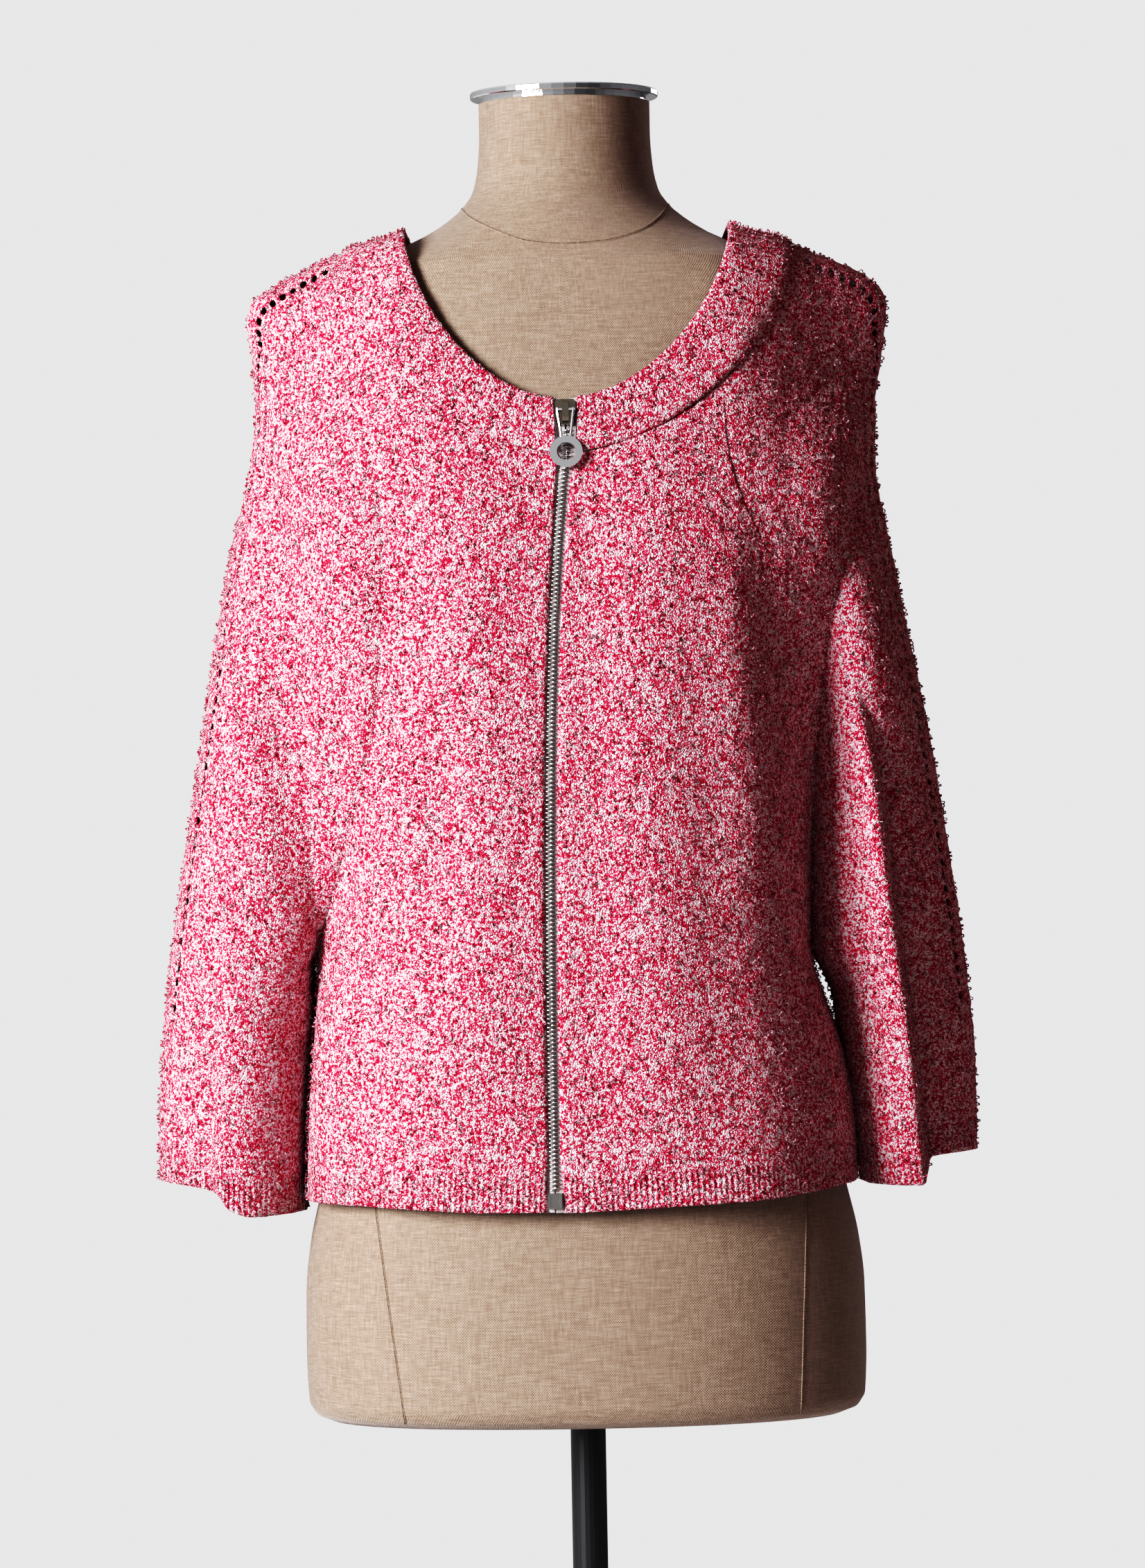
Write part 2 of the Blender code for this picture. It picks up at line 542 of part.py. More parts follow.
class Cloth:
    """The whole cardigan as one surface: shared points, and each panel's faces."""

    def __init__(self):
        self.points, self.index, self.faces, self.rise = [], {}, {}, {}
        self.zip_rows = {side: [] for side in SIDES}

    def add(self, point):
        key = tuple(int(round(c * 1e6)) for c in point)
        if key not in self.index:
            self.index[key] = len(self.points)
            self.points.append(np.array(point, float))
        return self.index[key]

    def face(self, panel, corners):
        corners = [c for i, c in enumerate(corners) if c != corners[i - 1]]
        if len(corners) > 2:
            self.faces.setdefault(panel, []).append(tuple(corners))

    def strip(self, panel, a, b, a_run, b_run):
        """Triangles between two lines of points, walking both by their run."""
        i = j = 0
        while i < len(a) - 1 or j < len(b) - 1:
            ahead = a_run[i + 1] if i < len(a) - 1 else math.inf
            beside = b_run[j + 1] if j < len(b) - 1 else math.inf
            if abs(ahead - beside) < 1e-9:
                self.face(panel, (a[i], a[i + 1], b[j + 1], b[j]))
                i, j = i + 1, j + 1
            elif ahead < beside:
                self.face(panel, (a[i], a[i + 1], b[j]))
                i += 1
            else:
                self.face(panel, (a[i], b[j + 1], b[j]))
                j += 1

    def grid(self, panel, rows):
        for i in range(len(rows) - 1):
            for a, b, c, d in zip(rows[i][:-1], rows[i + 1][:-1], rows[i + 1][1:], rows[i][1:]):
                self.face(panel, (a, b, c, d))

    def turn_out(self, panel, towards):
        """Turns a panel's faces to the outside."""
        total = np.zeros(3)
        for corners in self.faces[panel]:
            p = [self.points[c] for c in corners]
            total += np.cross(p[1] - p[0], p[2] - p[0])
        if total @ np.array(towards) < 0:
            self.faces[panel] = [f[::-1] for f in self.faces[panel]]

    def normals(self):
        """Normals of the whole surface, so that walls run on across a seam."""
        total = np.zeros((len(self.points), 3))
        for faces in self.faces.values():
            for corners in faces:
                p = np.array([self.points[c] for c in corners])
                for i in range(1, len(corners) - 1):
                    total[list(corners)] += np.cross(p[i] - p[0], p[i + 1] - p[0])
        return total / np.maximum(np.linalg.norm(total, axis=1), 1e-12)[:, None]


def place(surface, side, layer, point):
    return surface.add(cloth(side, layer, point[0], point[1]))


def place_seam(surface, side, point):
    """A point where front and back meet."""
    y = float(setback(side, point[0], point[1]))
    return surface.add((side * point[0], y, point[1]))


def border_mix(side, layer, along, inset):
    """Point of the border at a length along the fold and a distance in from it."""
    v = along / border_length(side)
    outer, inner = fold_point(side, v), border_inner(side, layer, v)
    return outer + (inner - outer) * inset / BORDER


def fold_lengths(side):
    """Where the fold line has points: at each eyelet, then wider apart."""
    lengths = [0.0]
    while lengths[-1] < EYELET_RUN:
        lengths.append(lengths[-1] + EYELET_PITCH)
    rest = border_length(side) - lengths[-1]
    return lengths + [lengths[-1] + rest * k / 4 for k in range(1, 5)]


def eyelet_lines(surface, side):
    """Lines above and below the row of eyelets, which part at each one, with their runs."""
    def put(along, extra):
        inset = float(read(EYELETS, "inset", along, by="along")) + extra
        return place(surface, side, "front", border_mix(side, "front", along, inset))

    length = border_length(side)
    inner, outer = [(0.0, put(0.0, 0.0))], []
    outer.append(inner[0])
    middle = EYELET_START
    while middle < EYELET_RUN:
        top, bottom = middle - EYELET_LENGTH / 2, middle + EYELET_LENGTH / 2
        ends = (top, put(top, 0.0)), (bottom, put(bottom, 0.0))
        for line, way in ((inner, 1), (outer, -1)):
            quarter = EYELET_LENGTH * EYELET_CORNER
            half = way * float(read(EYELETS, "width", middle, by="along")) / 2
            sides = [(middle + k, put(middle + k, half)) for k in (-quarter, quarter)]
            line += [ends[0], *sides, ends[1]]
        middle += EYELET_PITCH
    for k in range(1, 4):
        along = middle + (length - middle) * k / 3
        shared = (along, put(along, 0.0))
        inner.append(shared)
        outer.append(shared)
    return inner, outer


def build_side(surface, side):
    """Front and back of one side, down to the hem and cuff, and their half of the neckband."""
    rows = ROWS_ABOVE + ROWS_BELOW
    length = border_length(side)
    fold_run = fold_lengths(side)
    fold = [place_seam(surface, side, fold_point(side, along / length)) for along in fold_run]
    for layer, panel in (("front", f"front_{WEARER_SIDE[side]}"), ("back", "back")):
        own = f"{panel}_{side}"
        bodies, sleeves = [], []
        for v in rows:
            body, sleeve = hung_row(side, layer, v)
            body_ids = [place(surface, side, layer, p) for p in body]
            sleeve_ids = [place(surface, side, layer, p) for p in sleeve]
            if layer == "back":
                body_ids[0] = place(surface, SIDES[0], layer, body[0])
            if v >= UNDERARM_ROW:
                body_ids[-1] = place_seam(surface, side, body[-1])
                sleeve_ids[0] = place_seam(surface, side, sleeve[0])
            bodies.append(body_ids)
            sleeves.append(sleeve_ids)
        if layer == "front":
            surface.zip_rows[side] += [row[:2] for row in bodies]
        surface.grid(own, bodies)
        surface.grid(own, sleeves)
        edge, run = [row[-1] for row in sleeves], [v * length for v in rows]
        if layer == "front":
            inner, outer = eyelet_lines(surface, side)
            inner_run, inner_ids = zip(*inner)
            outer_run, outer_ids = zip(*outer)
            surface.strip(own, edge, inner_ids, run, inner_run)
            surface.strip(own, outer_ids, fold, outer_run, fold_run)
            start = [inner_ids[0], fold[0]]
        else:
            surface.strip(own, edge, fold, run, fold_run)
            start = [fold[0]]
        surface.turn_out(own, (0, -1 if layer == "front" else 1, 0))
        surface.faces.setdefault(panel, []).extend(surface.faces.pop(own))
        band_side(surface, side, layer, bodies[0] + sleeves[0][1:] + start)


def band_side(surface, side, layer, seam):
    """The band beside the neckline, between its edge and the seam points of the panels."""
    panel = f"neckband_{WEARER_SIDE[side]}" if layer == "front" else "neckband_back"
    own = f"{panel}_{side}"
    top = border_start(side, layer)[0]
    spread_body, spread_sleeve = column_spread()
    places = list(0.5 * spread_body) + list(0.5 + (top - 0.5) * spread_sleeve[1:])
    places += [0.5 * (top + 1), 1.0] if layer == "front" else [1.0]
    rows = [seam]
    for k in range(1, BAND_ROWS + 1):
        row = []
        for t, base in zip(places, seam):
            outer = np.array([abs(surface.points[base][0]), surface.points[base][2]])
            if layer == "front" and t == 0:
                outer[0] = side * surface.points[base][0]
            inner = seam_point(side, layer, t, "edge")
            point = outer + (inner - outer) * k / BAND_ROWS
            if t == 1.0:
                point[1] = edge_height(side, point[0])
                row.append(place_seam(surface, side, point))
            else:
                at = SIDES[0] if layer == "back" and t == 0 else side
                row.append(place(surface, at, layer, point))
        rows.append(row)
    if layer == "front":
        surface.zip_rows[side] = [row[:2] for row in rows[:0:-1]] + surface.zip_rows[side]
    surface.grid(own, rows)
    surface.turn_out(own, (0, -1 if layer == "front" else 1, 0))
    surface.faces.setdefault(panel, []).extend(surface.faces.pop(own))
    for k, row in enumerate(rows):
        for i in row:
            surface.rise.setdefault(panel, {})[i] = band_rise(side, layer, k / BAND_ROWS)


def band_rise(side, layer, t):
    """How far the band's outside stands over the panels: most just inside its seam."""
    if layer == "back":
        return (BAND_WALL - WALL + BAND_RISE[-1]) * min(1, t * BAND_ROWS)
    crest = math.sin(math.pi * min(1, BAND_CREST["start"] + BAND_CREST["run"] * t))
    return BAND_WALL - WALL + BAND_RISE[side] * (BAND_CREST["low"] + (1 - BAND_CREST["low"]) * crest)


# Solids


def finish(name, colour, roughness, metallic):
    material = bpy.data.materials.new(name)
    material.use_nodes = True
    shader = material.node_tree.nodes["Principled BSDF"]
    shader.inputs["Base Color"].default_value = (*colour, 1)
    shader.inputs["Roughness"].default_value = roughness
    shader.inputs["Metallic"].default_value = metallic
    material.diffuse_color = (*colour, 1)
    return material


def add_mesh(name, points, faces, material):
    mesh = bpy.data.meshes.new(name)
    mesh.from_pydata([tuple(p) for p in points], [], [tuple(f) for f in faces])
    mesh.materials.append(material)
    mesh.shade_smooth()
    mesh.set_sharp_from_angle(angle=SHARP_ANGLE)
    obj = bpy.data.objects.new(name, mesh)
    bpy.context.scene.collection.objects.link(obj)
    return obj


def seam_shift(surface, panel, edges, normal_at):
    """How each edge point moves into its panel, to leave the gap at a seam."""
    shared = set()
    for other, faces in surface.faces.items():
        if other != panel:
            for corners in faces:
                shared.update(frozenset(pair) for pair in zip(corners, corners[1:] + corners[:1]))
    inward = {}
    for a, b in edges:
        if frozenset((a, b)) not in shared:
            continue
        along = surface.points[b] - surface.points[a]
        way = np.cross(normal_at[a] + normal_at[b], along)
        way /= np.linalg.norm(way)
        inward.setdefault(a, []).append(way)
        inward.setdefault(b, []).append(way)
    shift = {}
    for i, ways in inward.items():
        total = sum(ways)
        gap = BAND_GAP if panel.startswith("neckband") else SEAM_GAP
        shift[i] = total / max(1e-9, total @ total) * len(ways) * gap / 2
    return shift


def wall(surface, panel, normal_at, material):
    """A panel as a closed wall, with its outside raised where a band or rib stands out."""
    faces = surface.faces[panel]
    directed = {(a, b) for f in faces for a, b in zip(f, f[1:] + f[:1])}
    edges = [(a, b) for a, b in directed if (b, a) not in directed]
    edges.sort()
    used = sorted({i for f in faces for i in f})
    new = {i: k for k, i in enumerate(used)}
    shift = seam_shift(surface, panel, edges, normal_at)
    rise = surface.rise.get(panel, {})
    moved = [surface.points[i] + shift.get(i, 0) for i in used]
    outside = [p + normal_at[i] * (WALL / 2 + rise.get(i, 0)) for p, i in zip(moved, used)]
    inside = [p - normal_at[i] * WALL / 2 for p, i in zip(moved, used)]
    n = len(used)
    shell = [tuple(new[i] for i in f) for f in faces]
    shell += [tuple(new[i] + n for i in f[::-1]) for f in faces]
    shell += [(new[b], new[a], new[a] + n, new[b] + n) for a, b in edges]
    return add_mesh(panel, outside + inside, shell, material)


def form_ring(row, sides):
    """One section: a squarish oval, thinner from front to back near the shoulders' ends."""
    place = dict(zip(FORM[0], row))
    angle = np.linspace(0, 2 * math.pi, sides, endpoint=False)
    power = 2 / place["squareness"]
    across = place["half_width"] * np.sign(np.cos(angle)) * np.abs(np.cos(angle)) ** power
    out = np.where(np.sin(angle) < 0, place["front"], place["back"])
    y = out * np.sign(np.sin(angle)) * np.abs(np.sin(angle)) ** power
    thin = thinned(FORM_THINNING, across, place["height"])
    return np.stack([across, y * thin, np.full(sides, place["height"])], -1)


def loft(name, rings, material):
    """A closed solid through rings of equal size, flat at both ends."""
    sides = len(rings[0])
    faces = [tuple(range(sides))[::-1], tuple(range((len(rings) - 1) * sides, len(rings) * sides))]
    for k in range(len(rings) - 1):
        for i in range(sides):
            j = (i + 1) % sides
            faces.append((k * sides + i, k * sides + j, (k + 1) * sides + j, (k + 1) * sides + i))
    return add_mesh(name, np.concatenate(rings), faces, material)


def circle(radius, height, sides):
    angle = np.linspace(0, 2 * math.pi, sides, endpoint=False)
    return np.stack([radius * np.cos(angle), radius * np.sin(angle), np.full(sides, height)], -1)


def build_form(linen, chrome, black):
    loft("form_torso", [form_ring(row, FORM_SIDES) for row in FORM[1:]], linen)
    seat = FORM[-1][0] + SEAT_GAP
    (inner, recess), (outer, rim) = CAP_RECESS, CAP_RIM
    under, over = CAP_BEVEL
    low, high = seat + recess, seat + recess + rim
    levels = [(inner, seat), (inner, low), (outer - under, low), (outer, low + under), (outer, high - over)]
    levels += [(outer - over, high)] + [(radius, high + CAP_DOME * share) for radius, share in CAP_TOP]
    loft("neck_cap", [circle(r, z, PLATE_SIDES) for r, z in levels], chrome)
    ends = (PLATE_THICKNESS + SEAT_GAP, FORM[1][0] - SEAT_GAP)
    loft("pole", [circle(POLE_RADIUS, height, POLE_SIDES) for height in ends], black)
    top = PLATE_THICKNESS
    plate = ((PLATE_RADIUS, 0.0), (PLATE_RADIUS, top - PLATE_BEVEL), (PLATE_RADIUS - PLATE_BEVEL, top))
    loft("base_plate", [circle(r, z, PLATE_SIDES) for r, z in plate], black)
    inner, outer = POLE_RADIUS + SEAT_GAP, COLLAR_RADIUS
    low, high = PLATE_THICKNESS + SEAT_GAP, PLATE_THICKNESS + COLLAR_HEIGHT
    bevel = COLLAR_BEVEL
    section = ((outer, low), (outer, high - bevel), (outer - bevel, high), (inner, high), (inner, low))
    ring_solid("pole_collar", [circle(r, z, POLE_SIDES) for r, z in section], black)


def ring_solid(name, rings, material):
    """A closed ring: loops joined one to the next and the last to the first."""
    sides, faces = len(rings[0]), []
    for k in range(len(rings)):
        m = (k + 1) % len(rings)
        for i in range(sides):
            j = (i + 1) % sides
            faces.append((k * sides + i, k * sides + j, m * sides + j, m * sides + i))
    return add_mesh(name, np.concatenate(rings), faces, material)


def build_cloth(knit):
    surface = Cloth()
    for side in SIDES:
        build_side(surface, side)
    normal_at = surface.normals()
    for panel in surface.faces:
        wall(surface, panel, normal_at, knit)
    return surface


def zip_frame(surface, height):
    """Middle of the zip at a height, with its directions across, up and out."""
    edges = [[surface.points[i] for i, _ in surface.zip_rows[side]] for side in SIDES]
    rows = np.mean(edges, axis=0)
    rows = rows[np.argsort(rows[:, 2])]

    def at(z):
        return np.array([np.interp(z, rows[:, 2], rows[:, k]) for k in range(3)])

    up = at(height + ZIP_SLOPE_REACH) - at(height - ZIP_SLOPE_REACH)
    up /= np.linalg.norm(up)
    out = np.cross(np.array([1.0, 0, 0]), up)
    out /= np.linalg.norm(out)
    return at(height), np.cross(up, out), up, out


def to_world(frame, across, up, out):
    middle, x, y, z = frame
    return middle + x * across + y * up + z * out


def prism(name, frame, outline, low, high, material, along="out"):
    """A closed prism in a zip frame: its outline extruded out of the cloth, or across it."""
    rings = []
    for t in (low, high):
        local = [(a, b, t) if along == "out" else (t, a, b) for a, b in outline]
        rings.append(np.array([to_world(frame, *place) for place in local]))
    area = sum(a[0] * b[1] - b[0] * a[1] for a, b in zip(outline, outline[1:] + outline[:1]))
    if area < 0:
        rings = [ring[::-1] for ring in rings]
    return loft(name, rings, material)


def disc(radius, sides, middle=(0.0, 0.0)):
    angles = [2 * math.pi * k / sides for k in range(sides)]
    return [(middle[0] + radius * math.cos(a), middle[1] + radius * math.sin(a)) for a in angles]


def combine(obj, other, operation):
    """Joins another solid to this one, or cuts it out."""
    other.hide_render = True
    other.display_type = "WIRE"
    modifier = obj.modifiers.new(other.name, "BOOLEAN")
    modifier.operation = operation
    modifier.object = other
    return obj


def build_tape(surface, side, material):
    """The zip's tape behind one front's edge, from the edge's own points moved in."""
    normal_at = surface.normals()
    low, high = WALL / 2 + SEAM_GAP, WALL / 2 + SEAM_GAP + TAPE_WALL
    rings = []
    for (edge, beside), (other, _) in zip(surface.zip_rows[side], surface.zip_rows[-side]):
        point, n = surface.points[edge], normal_at[edge]
        along = surface.points[beside] - point
        along /= np.linalg.norm(along)
        reach = abs(point[0] - surface.points[other][0]) / 2 - BAND_GAP
        ends = point - along * reach, point + along * TAPE_WIDTH
        rings.append(np.array([ends[0] - n * low, ends[1] - n * low, ends[1] - n * high, ends[0] - n * high]))
    if side > 0:
        rings = [ring[::-1] for ring in rings]
    return loft(f"zip_tape_{WEARER_SIDE[side]}", rings, material)


def build_chain(surface, material):
    """The closed teeth as one bar; its rows lie where the fronts' rows do."""
    low = BOX["top"] + SEAM_GAP
    high = SLIDER["middle"] - SLIDER["length"] / 2 - SEAM_GAP
    heights = [surface.points[i][2] for i, _ in surface.zip_rows[1]]
    inside = sorted(z for z in heights if low + CHAIN_ROW_SPARE < z < high - CHAIN_ROW_SPARE)
    heights = [low, *inside, high]
    rings = []
    for height in heights:
        frame = zip_frame(surface, height)
        back = WALL / 2 - SEAM_GAP
        half, front = CHAIN_HALF, -CHAIN_FRONT
        corners = ((-half, back), (half, back), (half, front), (-half, front))
        rings.append(np.array([frame[0] + np.array([a, 0, 0]) - frame[3] * b for a, b in corners]))
    return loft("zip_chain", [ring[::-1] for ring in rings], material)


def oblong(wide, tall):
    return [(-wide, -tall), (wide, -tall), (wide, tall), (-wide, tall)]


def build_box(surface, material):
    """The retainer box at the bottom: a plain bare plate sunk inside a frame."""
    middle = (BOX["bottom"] + BOX["top"]) / 2
    frame, half = zip_frame(surface, middle), (BOX["top"] - BOX["bottom"]) / 2
    wide, rim = BOX["half_width"], BOX["rim"]
    box = prism("zip_box", frame, oblong(wide, half), -WALL / 2 + SEAM_GAP, BOX["front"], material)
    floor = BOX["front"] - BOX["recess"]
    sunk = oblong(wide - rim, half - rim)
    cut = prism("zip_box_recess", frame, sunk, floor, BOX["front"] + CUT_SPARE, material)
    return combine(box, cut, "DIFFERENCE")


def build_slider(surface, material):
    frame, half = zip_frame(surface, SLIDER["middle"]), SLIDER["length"] / 2
    top, bottom = SLIDER["top_half"], SLIDER["bottom_half"]
    waist, corner = half * SLIDER_OUTLINE["waist"], SLIDER_OUTLINE["corner"]
    right = [(bottom, -half), (top, waist), (top, half * corner), (top * corner, half)]
    outline = [(-bottom, -half), *right] + [(-x, y) for x, y in right[:0:-1]]
    slider = prism("zip_slider", frame, outline, SLIDER["back"], SLIDER["front"], material)
    reach, rise, thick = SLIDER["bridge_length"] / 2, SLIDER["bridge_height"], SLIDER["bridge_wall"]
    base = SLIDER["front"]
    shoulder, crown = BRIDGE_ARCH["shoulder"], BRIDGE_ARCH["crown"]
    arch = [(reach, base - BRIDGE_SINK), (reach, base + rise * shoulder), (reach * crown, base + rise)]
    arch = [(-reach, base - BRIDGE_SINK), *arch] + [(-x, y) for x, y in arch[:0:-1]]
    inner, crown = reach - thick, BRIDGE_ARCH["inner_crown"]
    under = base + rise * BRIDGE_ARCH["inner_shoulder"]
    hole = [(inner, base), (inner, under), (reach * crown, base + rise - thick)]
    hole = [(-inner, base), *hole] + [(-x, y) for x, y in hole[:0:-1]]
    wide = SLIDER["bridge_half"]
    bridge = prism("slider_bridge", frame, arch, -wide, wide, material, "across")
    eye = prism("slider_eye", frame, hole, -wide * 2, wide * 2, material, "across")
    combine(slider, bridge, "UNION")
    return combine(slider, eye, "DIFFERENCE")


def rod(name, start, end, radius, material):
    """A round rod between two points."""
    way = (end - start) / np.linalg.norm(end - start)
    side = np.cross(way, [0.0, 1.0, 0.0])
    side /= np.linalg.norm(side)
    other = np.cross(way, side)
    angles = [2 * math.pi * k / ROD_SIDES for k in range(ROD_SIDES)]
    spokes = [side * math.cos(a) * radius + other * math.sin(a) * radius for a in angles]
    return loft(name, [np.array([p + s for s in spokes]) for p in (start, end)], material)


def build_pull(surface, material):
    """The ring pull: a pin through the slider's bridge, two legs and the ring."""
    frame = zip_frame(surface, SLIDER["middle"])
    pin, half, size = PULL["pin_rise"], PULL["half_width"], PULL["rod"]
    middle = (0.0, pin - PULL["drop"])
    low = PULL["ring_out"] - PULL["thickness"] / 2
    plate = disc(PULL["ring"], RING_SIDES, middle)
    ring = prism("zip_pull", frame, plate, low, low + PULL["thickness"], material)
    round_hole = disc(PULL["hole"], RING_SIDES, middle)
    hole = prism("pull_hole", frame, round_hole, low - CUT_SPARE, low + 2 * CUT_SPARE, material)
    combine(ring, hole, "DIFFERENCE")
    ends = [to_world(frame, way * (half + size), pin, PULL["pin_out"]) for way in SIDES]
    combine(ring, rod("pull_pin", *ends, size, material), "UNION")
    foot = pin - PULL["drop"] + PULL["ring"] - PULL_FOOT_LAP
    for way in SIDES:
        start = to_world(frame, way * half, pin + size * PULL_LEG_TOP, PULL["pin_out"])
        end = to_world(frame, way * PULL["neck_half"], foot, PULL["ring_out"])
        combine(ring, rod(f"pull_leg_{WEARER_SIDE[way]}", start, end, size, material), "UNION")
    return ring


def build_zip(surface, tape, steel):
    for side in SIDES:
        build_tape(surface, side, tape)
    build_chain(surface, steel)
    build_box(surface, steel)
    build_slider(surface, steel)
    build_pull(surface, steel)


def main():
    for obj in list(bpy.data.objects):
        bpy.data.objects.remove(obj)
    knit = finish("knit", (0.62, 0.16, 0.27), 0.9, 0.0)
    linen = finish("linen", (0.42, 0.33, 0.26), 0.85, 0.0)
    chrome = finish("chrome", (0.75, 0.75, 0.76), 0.12, 1.0)
    black = finish("black_steel", (0.02, 0.02, 0.022), 0.35, 0.0)
    build_form(linen, chrome, black)
    tape = finish("zip_tape", (0.66, 0.64, 0.64), 0.8, 0.0)
    steel = finish("zip_metal", (0.62, 0.60, 0.58), 0.25, 1.0)
    build_zip(build_cloth(knit), tape, steel)


main()
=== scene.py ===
import math

import bpy
import numpy as np
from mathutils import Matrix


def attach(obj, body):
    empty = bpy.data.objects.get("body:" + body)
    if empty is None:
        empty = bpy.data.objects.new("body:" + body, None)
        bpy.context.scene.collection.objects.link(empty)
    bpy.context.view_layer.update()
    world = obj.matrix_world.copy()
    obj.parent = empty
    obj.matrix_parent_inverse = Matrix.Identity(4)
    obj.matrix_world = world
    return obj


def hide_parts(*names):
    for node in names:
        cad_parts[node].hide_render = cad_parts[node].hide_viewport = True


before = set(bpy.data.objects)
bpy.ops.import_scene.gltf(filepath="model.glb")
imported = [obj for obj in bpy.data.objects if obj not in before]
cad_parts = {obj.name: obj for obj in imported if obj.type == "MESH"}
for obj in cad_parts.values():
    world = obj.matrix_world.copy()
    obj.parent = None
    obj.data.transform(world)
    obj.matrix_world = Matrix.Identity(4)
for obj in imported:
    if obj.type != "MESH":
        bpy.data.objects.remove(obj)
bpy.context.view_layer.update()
sides = (-1, 1)  # -1 is the wearer's right, on the left in the picture
sideName = {-1: "Right", 1: "Left"}


# Reading tables, and small curves

def tableOf(*rows):
    # named columns of a short table whose first row holds the names
    return {name: np.array([row[i] for row in rows[1:]], float) for i, name in enumerate(rows[0])}


def read(table, name, at, by="height"):
    # monotone cubic through the rows: h00 y0 + h10 s m0 + h01 y1 + h11 s m1, with harmonic slopes m
    knots, values = table[by], table[name]
    at = np.clip(np.asarray(at, float), knots[0], knots[-1])
    run = np.diff(knots)
    slope = np.diff(values) / run
    before, after = slope[:-1], slope[1:]
    total = np.where(before + after == 0, 1, before + after)
    inner = np.where(before * after > 0, 2 * before * after / total, 0)
    tangent = np.concatenate([slope[:1], inner, slope[-1:]])
    i = np.clip(np.searchsorted(knots, at, side="right") - 1, 0, len(run) - 1)
    t = (at - knots[i]) / run[i]
    return (values[i] * (1 + 2 * t) * (1 - t) ** 2 + tangent[i] * run[i] * t * (1 - t) ** 2
            + values[i + 1] * t ** 2 * (3 - 2 * t) - tangent[i + 1] * run[i] * t ** 2 * (1 - t))


def ease(t):
    # 3t^2 - 2t^3 between 0 and 1
    t = np.clip(t, 0, 1)
    return t * t * (3 - 2 * t)


def unit(v):
    return v / np.maximum(np.linalg.norm(v, axis=-1, keepdims=True), 1e-12)


def lumps(points, size, seed):
    # value noise: random numbers on a lattice of this size, blended by eased distances, -1 to 1
    numbers = np.random.default_rng(seed).uniform(-1, 1, 8192)
    scaled = points / size
    cell = np.floor(scaled).astype(np.int64)
    part = ease(scaled - cell)
    total = np.zeros(len(points))
    for corner in range(8):
        bit = np.array([corner & 1, corner >> 1 & 1, corner >> 2 & 1])
        key = cell + bit
        slot = (key[:, 0] * 73856093 ^ key[:, 1] * 19349663 ^ key[:, 2] * 83492791) & 8191
        weight = np.prod(np.where(bit, part, 1 - part), axis=1)
        total += weight * numbers[slot]
    return total


# Nodes: one class wraps a socket, and its operators add Math nodes

class Sock:
    def __init__(self, tree, socket=None):
        self.tree = tree
        self.socket = socket

    def node(self, kind, settings=None, out=0, **values):
        # any other node: its settings first, then its sockets' values or links, by name or number
        made = self.tree.nodes.new(kind)
        for name, value in (settings or {}).items():
            if name == "stops":
                ramp = made.color_ramp.elements
                while len(ramp) < len(value):
                    ramp.new(0.5)
                for element, (place, colour) in zip(ramp, value):
                    element.position = place
                    element.color = (*colour, 1)
            else:
                setattr(made, name, value)
        for name, value in values.items():
            key = int(name[1:]) if name[0] == "i" and name[1:].isdigit() else name.replace("_", " ")
            self.plug(made.inputs[key], value)
        return Sock(self.tree, made.outputs[out] if len(made.outputs) else None)

    def plug(self, entry, value):
        if isinstance(value, Sock):
            self.tree.links.new(value.socket, entry)
        elif entry.type == "RGBA":
            entry.default_value = (*value[:3], 1)
        else:
            entry.default_value = value

    def math(self, operation, a, b=None, clamp=False):
        values = {"i0": a} if b is None else {"i0": a, "i1": b}
        return self.node("ShaderNodeMath", {"operation": operation, "use_clamp": clamp}, **values)

    def __add__(self, other):
        return self.math("ADD", self, other)

    def __sub__(self, other):
        return self.math("SUBTRACT", self, other)

    def __rsub__(self, other):
        return self.math("SUBTRACT", other, self)

    def __mul__(self, other):
        return self.math("MULTIPLY", self, other)

    def __truediv__(self, other):
        return self.math("DIVIDE", self, other)

    def __pow__(self, other):
        return self.math("POWER", self, other)

    __radd__ = __add__
    __rmul__ = __mul__

    def between(self, low, high):
        return self.node("ShaderNodeMapRange", {"interpolation_type": "SMOOTHSTEP"}, i0=self, i1=low, i2=high)

    def mixed(self, first, second, blend="MIX"):
        # colour mix with this socket as the factor
        made = self.tree.nodes.new("ShaderNodeMix")
        made.data_type = "RGBA"
        made.blend_type = blend
        self.plug(made.inputs[0], self)
        self.plug(made.inputs[6], first)
        self.plug(made.inputs[7], second)
        return Sock(self.tree, made.outputs[2])

    def noise(self, scale, detail=2.0, rough=0.5, out=0):
        return self.node("ShaderNodeTexNoise", out=out, Vector=self, Scale=scale, Detail=detail,
                         Roughness=rough)

    def axis(self, k):
        return self.node("ShaderNodeSeparateXYZ", out=k, i0=self)

    def ramp(self, stops):
        return self.node("ShaderNodeValToRGB", {"stops": stops}, i0=self)

    def cells(self, place, scale):
        # a Voronoi pattern: distance to the nearest cell's middle, and a random shade for each cell
        pattern = {"Vector": place, "Scale": scale}
        cell = self.node("ShaderNodeTexVoronoi", out=2, **pattern)
        shade = self.node("ShaderNodeTexWhiteNoise", {"noise_dimensions": "3D"}, Vector=cell)
        return self.node("ShaderNodeTexVoronoi", out=0, **pattern), shade

    def moved(self, other, operation="ADD"):
        return self.node("ShaderNodeVectorMath", {"operation": operation}, i0=self, i1=other)

    def scaled(self, amount):
        return self.node("ShaderNodeVectorMath", {"operation": "SCALE"}, i0=self, Scale=amount)

    def bump(self, strength, distance):
        return self.node("ShaderNodeBump", Strength=strength, Distance=distance, Height=self)


